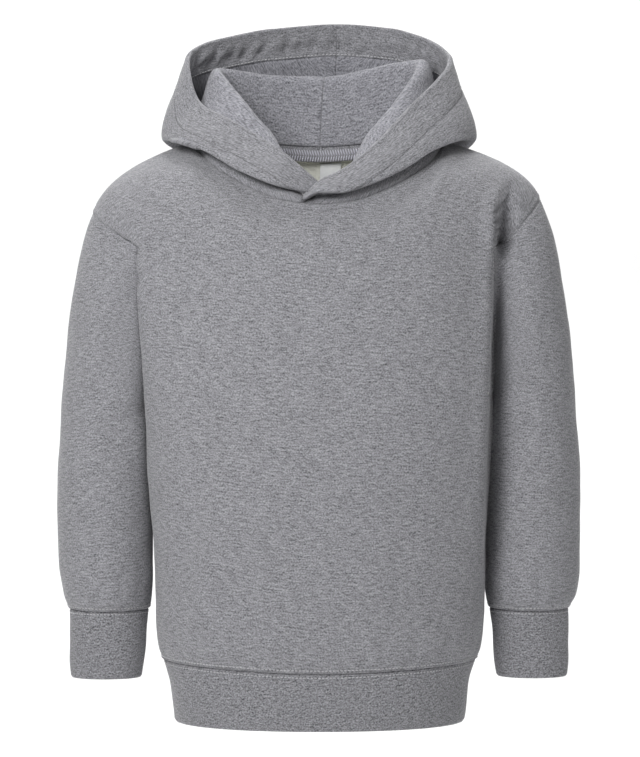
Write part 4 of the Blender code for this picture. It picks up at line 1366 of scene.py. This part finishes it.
def turned_rim(points, normals):
    """The rows past the rim: a rounded fold, then the hem turned down inside the hood."""
    depths = rim_depths(points)
    tangent = unit(points[-1] - points[-3])
    bend = np.radians(np.linspace(0, 180, BEND_ROWS)[1:])[:, None, None]
    fold = points[-1] + tangent * RIM_RADIUS * np.sin(bend) - normals[-1] * RIM_RADIUS * (1 - np.cos(bend))
    inside = points - normals * 2 * RIM_RADIUS
    return np.concatenate([points, fold, at_depths(HEM_ROWS[:, None] * hem_depth(depths), depths, inside)])


def hem_relief(side, inside, azimuths):
    """Heights of the turned hem: its puckers, its sag, its stitch groove and its centre seam."""
    height = creases(inside, rim_puckers(side, inside, azimuths))
    rows = HEM_ROWS[:, None]
    down = np.linspace(0, 1, len(HEM_ROWS))[:, None]
    from_middle = np.linalg.norm(inside - inside[:, -1:], axis=-1)[-len(HEM_ROWS):]
    turned = height[-len(HEM_ROWS):]
    turned *= 1 - bell(1 - rows, HEM_END_FADE)
    turned -= RIM_TROUGH * bell(down - 0.5, TROUGH_SPREAD) * np.sin(math.pi * down)
    turned -= RIM_GROOVE * bell(rows - STITCH_SHARE, GROOVE_SPREAD)
    turned -= HEM_SEAM_DENT * bell(from_middle, EDGE_ROLL)
    return height


def make_hood(side, outer):
    flip = side == "right"
    azimuth, rise = np.meshgrid(hood_azimuths(FRONT_EDGES[side]), steps(*HOOD_ROWS))
    points, normals, out = hood_surface(side, azimuth, rise)
    depths = rim_depths(points)
    hem = hem_depth(depths)
    height = RIM_PUFF * np.sin(math.pi * np.clip(depths / hem, 0, 1))
    height -= RIM_DENT[side] * bell(depths - hem * STITCH_SHARE, STITCH_GROOVE)
    whole = turned_rim(points + normals * height[..., None], normals)
    inside = whole[len(points):]
    facing = outward(inside, flip)
    whole[len(points):] += facing * hem_relief(side, inside, azimuth[0])[..., None]
    return cloth_mesh("hood_" + side + "_cloth", whole, np.concatenate([out, facing]), HOOD_WALL, outer,
                      outer, flip=flip, middle=whole.shape[1] - 1, origin=len(points) - 1,
                      turned=("start", "left", "right"))


def make_lining(side, jersey):
    columns = hood_azimuths(LINING_FROM[side])
    rises = steps(LINING_ROWS)
    azimuth, rise = np.meshgrid(columns, rises)
    depths = rim_depths(hood(side, azimuth, rise))
    top = [np.interp(-(HEM_DEPTH - LINING_TUCK), -depths[:, i], rises) for i in range(len(columns))]
    rise = mix(LINING_FOOT, np.array(top), rise)
    points, normals, out = hood_surface(side, azimuth, rise)
    free = np.clip((rim_depths(points) - LINING_TUCK) / RUFFLE_FADE, 0, 1)
    ruffles = gathers(SEEDS["lining"][side], lambda u, v: hood(side, u, v), LINING_RUFFLES, 1)
    ruffled = creases(points, ruffles) * free + mix(HOOD_WALL + TUCKED_OFFSET, LINING_OFFSET, free)
    points = settle(points - normals * ruffled[..., None], rise)
    beside_seam = np.linalg.norm(points - points[:, -1:], axis=-1)
    points += normals * (LINING_SEAM * bell(beside_seam, EDGE_ROLL))[..., None]
    return cloth_mesh("hood_lining_" + side + "_cloth", points, out, JERSEY, jersey, jersey,
                      flip=side == "right", middle=points.shape[1] - 1)


def settle(points, rises):
    """Ease the lining where it turns up out of the roll, so that it hangs free of its bottom."""
    share = bell(rises - ROLL_RISE, ROLL_REACH)[1:-1, :, None]
    for _ in range(SETTLE_PASSES):
        middle = (points[:-2] + points[2:]) / 2
        points = np.concatenate([points[:1], mix(points[1:-1], middle, share), points[-1:]])
    return points


def make_label(satin):
    across = np.linspace(*LABEL_SHARE, LABEL_COLUMNS)
    points = worn_panel(-1, *np.meshgrid(across, np.linspace(*LABEL_RISES, LABEL_ROWS) - LABEL_DROP))
    height = LABEL_OFFSET + LABEL_BOW * np.sin(np.linspace(0, math.pi, LABEL_COLUMNS)) ** 2
    normals = grid_normals(points)
    points = points + normals * height[:, None]
    return cloth_mesh("neck_label_cloth", points, normals, LABEL_CLOTH * LABEL_WALL, satin, satin, flip=True)


# ---------------------------------------------------------------- stitching
def thread_form():
    """One stitch: a low rounded bar, 1 long, 1 wide and 1 high, lying along X."""
    angles = np.radians(THREAD_ANGLES)
    ring = np.stack([np.cos(angles) / 2, np.maximum(np.sin(angles), THREAD_UNDERSIDE)], -1)
    verts = np.array([(x, side * size, top * size) for x, size in THREAD_SECTIONS for side, top in ring])
    return verts, tube_faces(len(THREAD_SECTIONS), len(ring))


def tube_faces(rows, around):
    """The faces of a tube of rings, then its two caps."""
    faces = [
        (row * around + i, row * around + (i + 1) % around,
         (row + 1) * around + (i + 1) % around, (row + 1) * around + i)
        for row in range(rows - 1)
        for i in range(around)
    ]
    return faces + [tuple(range(around))[::-1], tuple(range((rows - 1) * around, rows * around))]


class StitchMesh:
    """Stitches gathered into one mesh, after any cloth that they are on."""

    def __init__(self, verts=np.empty((0, 3)), faces=()):
        self.form, self.form_faces = thread_form()
        self.verts, self.faces = [verts], list(faces)
        self.count = len(verts)

    def add(self, axes, place):
        self.verts.append(self.form @ axes + place)
        self.faces.extend(tuple(self.count + i for i in face) for face in self.form_faces)
        self.count += len(self.form)

    def piece(self, name, materials, cloth_faces=0):
        mesh = bpy.data.meshes.new(name)
        mesh.from_pydata(np.concatenate(self.verts).tolist(), [], self.faces)
        for material in materials:
            mesh.materials.append(material)
        last = len(materials) - 1
        mesh.polygons.foreach_set(
            "material_index", [last * (i >= cloth_faces) for i in range(len(self.faces))]
        )
        mesh.shade_smooth()
        piece = placed(name, mesh)
        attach(piece, "root")


def resample(path, spacing):
    """Points along a line at an even spacing, with the line's directions there."""
    total = run_lengths(path)
    at = np.arange(spacing / 2, total[-1], spacing)
    points, ahead = (
        np.stack([np.interp(at + shift, total, path[:, axis]) for axis in range(3)], -1)
        for shift in (0, spacing / 4)
    )
    return points, unit(ahead - points + TINY)


def stitches(name, rows, material):
    """Threads along lines that lie on finished cloth.

    Each row is (line, cloth, spacing, length, width, height).
    """
    threads = StitchMesh()
    for line, cloth, spacing, length, width, height in rows:
        tree = BVHTree.FromObject(cloth, bpy.context.evaluated_depsgraph_get())
        for point, direction in zip(*resample(line, spacing)):
            place, normal, _, _ = tree.find_nearest(Vector(point))
            direction = Vector(direction)
            direction = (direction - normal * direction.dot(normal)).normalized()
            axes = np.array([direction * length, normal.cross(direction) * width, normal * height])
            threads.add(axes, np.array(place + normal * THREAD_LIFT))
    threads.piece(name, [material])


def beside(edge, inside, distance):
    """A line that runs at a distance from an edge, towards the inside line."""
    return edge + unit(inside - edge) * distance


def armhole_lines(side):
    """The armhole's stitch lines: one on the sleeve, then one on each panel."""
    turns = np.linspace(*SLEEVE_ROW_TURNS, ROW_SAMPLES["sleeve"])
    edge, inside = (worn_sleeve(side, turns, fall) for fall in (0.0, ROW_INSIDES["cap"]))
    lines = [beside(edge, inside, SLEEVE_ROW)]
    for facing, stretch in ARMHOLE_ROWS.items():
        turns = np.linspace(*stretch, ROW_SAMPLES["panel"])
        inside = worn_panel(facing, SIDES[side]["sign"] * ROW_INSIDES["side"], armhole_row(turns))
        lines.append(beside(worn_armhole(side, turns), inside, PANEL_ROW))
    return lines


def band_lines(upper, lower, samples):
    """Two stitch lines beside a band's seam: above it on the body cloth and below on the band."""
    around = np.linspace(0, 1, samples)
    high = beside(upper(around, 0.0), upper(around, ROW_INSIDES["cloth"]), ABOVE_ROW)
    low = beside(lower(around, 0.0), lower(around, ROW_INSIDES["band"]), BELOW_ROW)
    return high, low


def neck_line(facing):
    across = np.linspace(-NECK_ACROSS, NECK_ACROSS, ROW_SAMPLES["neck"]) * NECK_ROW_SHARE
    edge, inside = (worn_panel(facing, across, rise) for rise in (3.0, ROW_INSIDES["top"]))
    return beside(edge, inside, PANEL_ROW)


def hood_line(side, inset, first):
    """The stitch line of the turned hem, moved in by the inset."""
    samples = ROW_SAMPLES["hood"]
    azimuth, rise = np.meshgrid(np.linspace(first, BACK_EDGE, samples), np.linspace(0, 1, samples))
    points, normals, _ = hood_surface(side, azimuth, rise)
    depths = rim_depths(points)
    wanted = hem_depth(depths)[None] * STITCH_SHARE
    return at_depths(wanted, depths, points - normals * inset)[0]


def serged_edge(cloth, thread):
    """The overlocked seam allowance inside the back neck: a strip under two rows of loops."""
    azimuth = np.linspace(-SERGED_TO, SERGED_TO, SERGED_SAMPLES) + 180
    edge = neck_point(np.where(azimuth > 180, 360 - azimuth, azimuth))
    edge[:, 0] = np.abs(edge[:, 0]) * np.sign(np.sin(np.radians(azimuth)))
    inwards = -radial(edge)
    line = edge + inwards * SERGED_INSET
    corners = [line + np.array([0, 0, height]) for height in SERGED_STRIP]
    corners += [corner - inwards * SERGED_CLOTH for corner in corners[::-1]]
    strip = tube_faces(len(line), 4)
    loops = StitchMesh(np.stack(corners, 1).reshape(-1, 3), strip)
    for height, length, slant in SERGED_ROWS:
        for point, direction in zip(*resample(line + np.array([0, 0, height]), SERGE_SPACING)):
            normal = -radial(point)
            rise = unit(np.array([0, 0, 1]) + slant * direction)
            across = np.cross(normal, rise)
            loops.add(np.array([rise * length, across * SERGE_WIDTH, normal * SERGE_HEIGHT]), point)
    loops.piece("neck_overlock", [cloth, thread], cloth_faces=len(strip))


# ---------------------------------------------------------------- materials
def node(tree, kind, **inputs):
    """A new node with its named inputs set."""
    made = tree.nodes.new(kind)
    for key, value in inputs.items():
        made.inputs[key].default_value = value
    return made


def new_material(name, roughness):
    """A material with its tree and its shader."""
    material = bpy.data.materials.new(name)
    material.use_nodes = True
    tree = material.node_tree
    shader = tree.nodes["Principled BSDF"]
    shader.inputs["Roughness"].default_value = roughness
    return material, tree, shader


def two_tones(tree, shader, share, dark, light):
    """Colour the shader between two tones by a share."""
    tones = tree.nodes.new("ShaderNodeValToRGB")
    tones.color_ramp.elements[0].color = (*dark, 1)
    tones.color_ramp.elements[1].color = (*light, 1)
    tree.links.new(share, tones.inputs["Fac"])
    tree.links.new(tones.outputs["Color"], shader.inputs["Base Color"])


def cloth_noise(tree, cell_across, cell_up, detail):
    """Noise in the cloth's own metres, with cells of the given size."""
    place = tree.nodes.new("ShaderNodeUVMap")
    place.uv_map = "Cloth"
    mapping = node(tree, "ShaderNodeMapping", Scale=(1 / cell_across, 1 / cell_up, 1),
                   Rotation=(0, 0, LATTICE_TURN))
    field = node(tree, "ShaderNodeTexNoise", Scale=1.0, Detail=detail, Roughness=NOISE_ROUGHNESS)
    tree.links.new(place.outputs["UV"], mapping.inputs["Vector"])
    tree.links.new(mapping.outputs["Vector"], field.inputs["Vector"])
    return field.outputs["Fac"]


def object_noise(tree, scale, detail):
    """Noise in the object's own space."""
    place = tree.nodes.new("ShaderNodeTexCoord")
    field = node(tree, "ShaderNodeTexNoise", Scale=scale, Detail=detail)
    tree.links.new(place.outputs["Object"], field.inputs["Vector"])
    return field.outputs["Fac"]


def math_node(tree, operation, first, second):
    made = tree.nodes.new("ShaderNodeMath")
    made.operation = operation
    for socket, value in zip(made.inputs, (first, second)):
        if isinstance(value, float):
            socket.default_value = value
        else:
            tree.links.new(value, socket)
    return made.outputs[0]


def heather(name, dark, light, streak, fleck, mottle, nap, sheen, roughness):
    """A marled cloth: streaks and flecks of two yarns, an uneven nap and a soft sheen."""
    material, tree, shader = new_material(name, roughness)
    shader.inputs["Specular IOR Level"].default_value = CLOTH_SPECULAR
    shader.inputs["Sheen Weight"].default_value = sheen
    shader.inputs["Sheen Roughness"].default_value = SHEEN_ROUGHNESS
    total = 0.5
    for across, up, weight, detail in (streak, fleck, mottle):
        centred = math_node(tree, "SUBTRACT", cloth_noise(tree, across, up, detail), 0.5)
        total = math_node(tree, "ADD", math_node(tree, "MULTIPLY", centred, weight), total)
    two_tones(tree, shader, total, dark, light)
    across, up, depth, strength = nap
    relief = node(tree, "ShaderNodeBump", Strength=strength, Distance=depth)
    tree.links.new(cloth_noise(tree, across, up, NAP_DETAIL), relief.inputs["Height"])
    tree.links.new(relief.outputs["Normal"], shader.inputs["Normal"])
    return material


def spun_thread(name, colour):
    """Spun thread: a plain colour that varies a little along it."""
    material, tree, shader = new_material(name, THREAD_ROUGHNESS)
    dark = [THREAD_SHADE * value for value in colour]
    two_tones(tree, shader, object_noise(tree, *THREAD_GRAIN), dark, colour)
    return material


# ---------------------------------------------------------------- stage
def make_backdrop():
    """A pale floor that curves up behind the hoodie."""
    curve = np.radians(np.linspace(0, 90, WALL_STRIPS))
    bend = [(FLOOR_TURN + WALL_BEND * math.sin(turn), FLOOR + WALL_BEND * (1 - math.cos(turn)))
            for turn in curve]
    profile = [(FLOOR_FRONT, FLOOR), *bend, (WALL_Y, WALL_TOP)]
    count = len(profile)
    mesh = bpy.data.meshes.new("backdrop")
    mesh.from_pydata(
        [(x, y, z) for x in (-WALL_HALF, WALL_HALF) for y, z in profile],
        [],
        [(i, count + i, count + i + 1, i + 1) for i in range(count - 1)],
    )
    mesh.shade_smooth()
    material, tree, shader = new_material("backdrop_paper", PAPER_ROUGHNESS)
    shader.inputs["Specular IOR Level"].default_value = 0.0
    two_tones(tree, shader, object_noise(tree, *PAPER_GRAIN), *PAPER)
    mesh.materials.append(material)
    placed("backdrop", mesh)


def add_light(name, place, target, size, power):
    lamp = bpy.data.lights.new(name, "AREA")
    lamp.shape = "DISK"
    lamp.size = size
    lamp.energy = power
    item = placed(name, lamp)
    item.location = place
    item.rotation_euler = (Vector(target) - Vector(place)).to_track_quat("-Z", "Y").to_euler()


def add_camera():
    lens = bpy.data.cameras.new("camera")
    lens.sensor_fit = "VERTICAL"
    lens.angle = 2 * math.atan(VIEW_HEIGHT / 2 / VIEW_DISTANCE)
    camera = placed("camera", lens)
    camera.location = (VIEW_ACROSS, -VIEW_DISTANCE, VIEW_LEVEL)
    camera.rotation_euler = (math.pi / 2, 0, 0)
    bpy.context.scene.camera = camera


def light_scene():
    world = bpy.data.worlds.new("studio")
    world.use_nodes = True
    sky = world.node_tree.nodes["Background"]
    sky.inputs["Color"].default_value = (1, 1, 1, 1)
    sky.inputs["Strength"].default_value = WORLD_LIGHT
    bpy.context.scene.world = world
    bpy.context.scene.view_settings.view_transform = "Standard"
    for light in LIGHTS:
        add_light(*light)


# ---------------------------------------------------------------- build
def build():
    fleece, brushed, jersey, rib, satin = (heather(name, *cloth) for name, cloth in CLOTHS.items())
    pale_thread, mid_thread, grey_thread, lilac_thread = (
        spun_thread(name, colour) for name, colour in THREADS.items()
    )
    panels = {
        1: declare(make_panel(1, fleece, brushed), "front"),
        -1: declare(make_panel(-1, fleece, brushed), "back"),
    }
    hem = declare(make_hem_band(rib), "hem_band")
    pale, middle, quiet = [], [], []
    for side in SIDES:
        arm = declare(make_sleeve(side, fleece, brushed), "sleeve_" + side)
        wrist = declare(make_cuff(side, rib), "cuff_" + side)
        hooded = declare(make_hood(side, fleece), "hood_" + side)
        declare(make_lining(side, jersey), "hood_lining_" + side)
        on_sleeve, on_front, on_back = armhole_lines(side)
        high, low = band_lines(
            lambda u, v: worn_sleeve(side, u, 2 - v), lambda u, v: cuff(side, u, v), ROW_SAMPLES["cuff"]
        )
        middle += [(on_sleeve, arm, *ROW_STITCH), (high, arm, *BAND_STITCH), (low, wrist, *BAND_STITCH)]
        quiet += [(on_front, panels[1], *ROW_STITCH), (on_back, panels[-1], *ROW_STITCH)]
        quiet.append((hood_line(side, 0.0, FRONT_EDGES[side] + HOOD_ROW_INSET), hooded, *RIM_STITCH))
        pale.append((hood_line(side, 2 * RIM_RADIUS, LINING_FROM[side]), hooded, *RIM_STITCH))
    for facing, cloth in panels.items():
        high, low = band_lines(
            lambda u, v: worn_panel(facing, u * 2 - 1, v),
            lambda u, v: hem_band(u / 2 - 0.25 if facing > 0 else 0.75 - u / 2, v),
            ROW_SAMPLES["hem"],
        )
        middle += [(high, cloth, *BAND_STITCH), (low, hem, *BAND_STITCH)]
    quiet += [(neck_line(facing), cloth, *ROW_STITCH) for facing, cloth in panels.items()]
    stitches("topstitching_pale", pale, pale_thread)
    stitches("topstitching_mid", middle, mid_thread)
    stitches("topstitching_grey", quiet, grey_thread)
    serged_edge(fleece, lilac_thread)
    declare(make_label(satin), "neck_label")


build()
make_backdrop()
light_scene()
add_camera()
